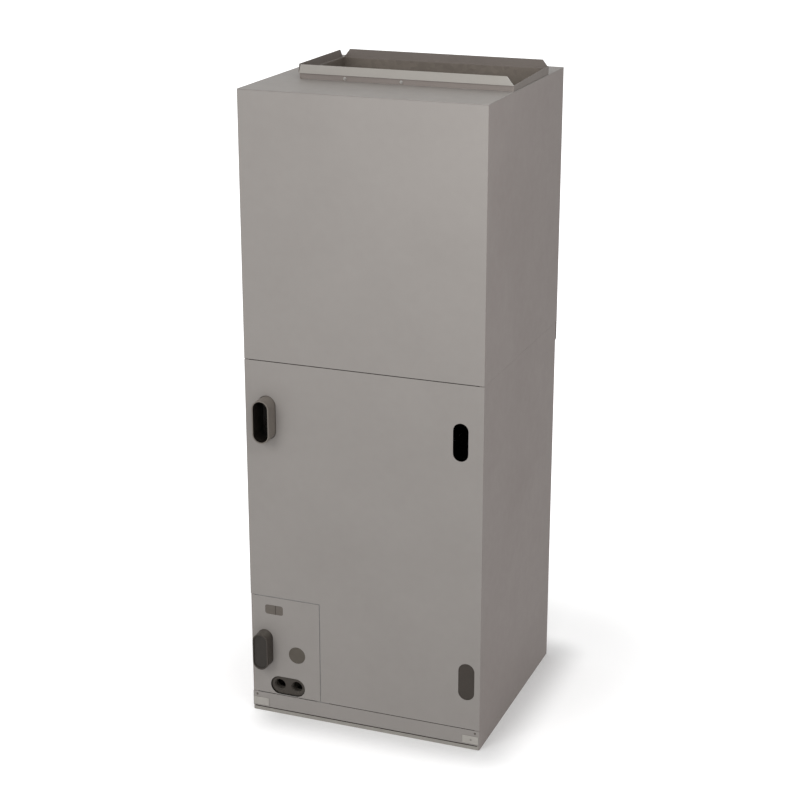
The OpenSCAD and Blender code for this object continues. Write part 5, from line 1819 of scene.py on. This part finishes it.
@dataclass
class Camera:
    """The camera that took the photo, solved from the cabinet's corners.

    Attributes:
        target: The point that it looks at.
        back: The way from the target to the camera.
        distance: How far away it is.
        lens: Its focal length in millimetres.
    """

    target: Triple = (-0.01159, 0.0, 0.68234)
    back: Triple = (0.34044, -0.88390, 0.32068)
    distance: float = 4.10765
    lens: float = 84.08

    def build(self) -> None:
        """Creates the camera and makes it the scene's."""
        data = bpy.data.cameras.new("photo_camera")
        data.lens = self.lens
        data.sensor_width = 36.0
        data.clip_start = 0.05
        data.clip_end = 60.0
        made = linked("photo_camera", data)
        way = Vector(self.back).normalized()
        made.location = Vector(self.target) + way * self.distance
        made.rotation_mode = "QUATERNION"
        made.rotation_quaternion = way.to_track_quat("Z", "Y")
        bpy.context.scene.camera = made


@dataclass
class Studio:
    """The plain floor, darkened round the object as painted shadow, and the soft light.

    Attributes:
        reach: Half the floor's size.
        shaded: Middle and half size of the box round which the floor is darkened as painted shadow.
        glow: The floor's own light to the camera: at the object, near it and far away; the low values near
            the object paint its shadow.
        steps: Distances over which the floor goes from one to the next.
        ambient: Strength of the light from all round.
        key: Power of the main soft light.
        fill: Power of the light at the upper right.
    """

    reach: float = 30.0
    shaded: tuple[Triple, Triple] = ((0.04, 0.0, 0.0), (0.2265, 0.25, 0.0))
    glow: Triple = (0.08, 0.42, 0.80)
    steps: tuple[tuple[float, float], tuple[float, float]] = ((0.0, 0.11), (0.16, 0.6))
    ambient: float = 0.6
    key: float = 52.0
    fill: float = 3.2

    def glow_strength(self, wires: Wires) -> Socket:
        """Wires how strongly the floor shines by the distance from the painted shadow's box, less near it as
        painted shadow.

        Args:
            wires: The floor material's wires.

        Returns:
            The strength.
        """
        middle, half = self.shaded
        side = wires.vectors("ABSOLUTE", wires.vectors("SUBTRACT", wires.here(), middle))
        past = wires.vectors("MAXIMUM", wires.vectors("SUBTRACT", side, half))
        away = wires.add("ShaderNodeVectorMath", {0: past}, operation="LENGTH").outputs["Value"]
        strength = self.glow[0]
        for (start, end), low, high in zip(self.steps, self.glow, self.glow[1:]):
            inputs = {"Value": away, "From Min": start, "From Max": end, "To Min": 0.0, "To Max": high - low}
            blend = wires.add("ShaderNodeMapRange", inputs, interpolation_type="SMOOTHSTEP")
            strength = wires.calc("ADD", blend.outputs["Result"], strength)
        return strength

    def floor(self) -> Object:
        """Lays the white floor, which takes the object's shadow and, near the object, a painted shadow.

        Returns:
            The floor.
        """
        mesh = bpy.data.meshes.new("floor")
        far = self.reach
        mesh.from_pydata([(-far, -far, 0), (far, -far, 0), (far, far, 0), (-far, far, 0)], [], [(0, 1, 2, 3)])
        white = bpy.data.materials.new("white_floor_painted_shadow")
        white.use_nodes = True
        wires = Wires(white.node_tree)
        nodes = white.node_tree.nodes
        nodes.remove(nodes["Principled BSDF"])
        ray = wires.add("ShaderNodeLightPath").outputs["Is Camera Ray"]
        # The floor's light to the camera drops near the object: painted shadow.
        shine = wires.times(ray, self.glow_strength(wires))
        glow = wires.add("ShaderNodeEmission", {"Color": (1, 1, 1, 1), "Strength": shine})
        matt = wires.add("ShaderNodeBsdfDiffuse", {"Color": (0.9, 0.9, 0.9, 1)})
        total = wires.add("ShaderNodeAddShader", {0: matt.outputs[0], 1: glow.outputs[0]})
        wires.fill(nodes["Material Output"], {"Surface": total.outputs[0]})
        mesh.materials.append(white)
        return linked("floor", mesh)

    def light(self, name: str, at: Vector, place: Vector, size: float, power: float) -> None:
        """Hangs a soft square light.

        Args:
            name: Its name.
            at: The point that it shines at.
            place: Where it hangs.
            size: Its side length.
            power: Its power in watts.
        """
        data = bpy.data.lights.new(name, "AREA")
        data.shape = "SQUARE"
        data.size = size
        data.energy = power
        made = linked(name, data)
        made.location = place
        made.rotation_mode = "QUATERNION"
        made.rotation_quaternion = (place - at).to_track_quat("Z", "Y")

    def sky(self) -> None:
        """Sets a white world that lights the object a little less than it shows."""
        world = bpy.data.worlds.new("studio")
        bpy.context.scene.world = world
        world.use_nodes = True
        wires = Wires(world.node_tree)
        ray = wires.add("ShaderNodeLightPath").outputs
        seen = wires.calc("MAXIMUM", ray["Is Camera Ray"], ray["Is Glossy Ray"])
        seen = wires.calc("MAXIMUM", seen, ray["Is Transmission Ray"])
        spread = wires.times(wires.calc("SUBTRACT", 1.0, seen), self.ambient)
        inputs = {"Color": (1, 1, 1, 1), "Strength": wires.calc("ADD", spread, seen)}
        wires.fill(world.node_tree.nodes["Background"], inputs)

    def build(self) -> None:
        """Sets the stage up."""
        self.floor()
        middle = Vector((0, 0, 0.7))
        self.light("key_light", middle, middle + Vector((-0.28, -0.85, 0.5)) * 4.5, 2.2, self.key)
        self.light("fill_light", Vector((0.12, -0.25, 1.15)), Vector((0.55, -1.0, 1.6)), 0.5, self.fill)
        self.sky()
        bpy.context.scene.view_settings.view_transform = "Standard"


def main() -> None:
    """Builds every piece and the stage round it, in order."""
    logging.basicConfig(level=logging.INFO, format="%(name)s %(message)s")
    parts = (Cabinet(), DuctCollar(), Panels(), DrainPans(), FilterDrawer(), Coil(), Blower(), Controls(),
             Fasteners(), Studio(), Camera())
    for part in parts:
        LOG.info("building %s", type(part).__name__)
        part.build()
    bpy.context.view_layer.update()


if __name__ == "__main__":
    main()
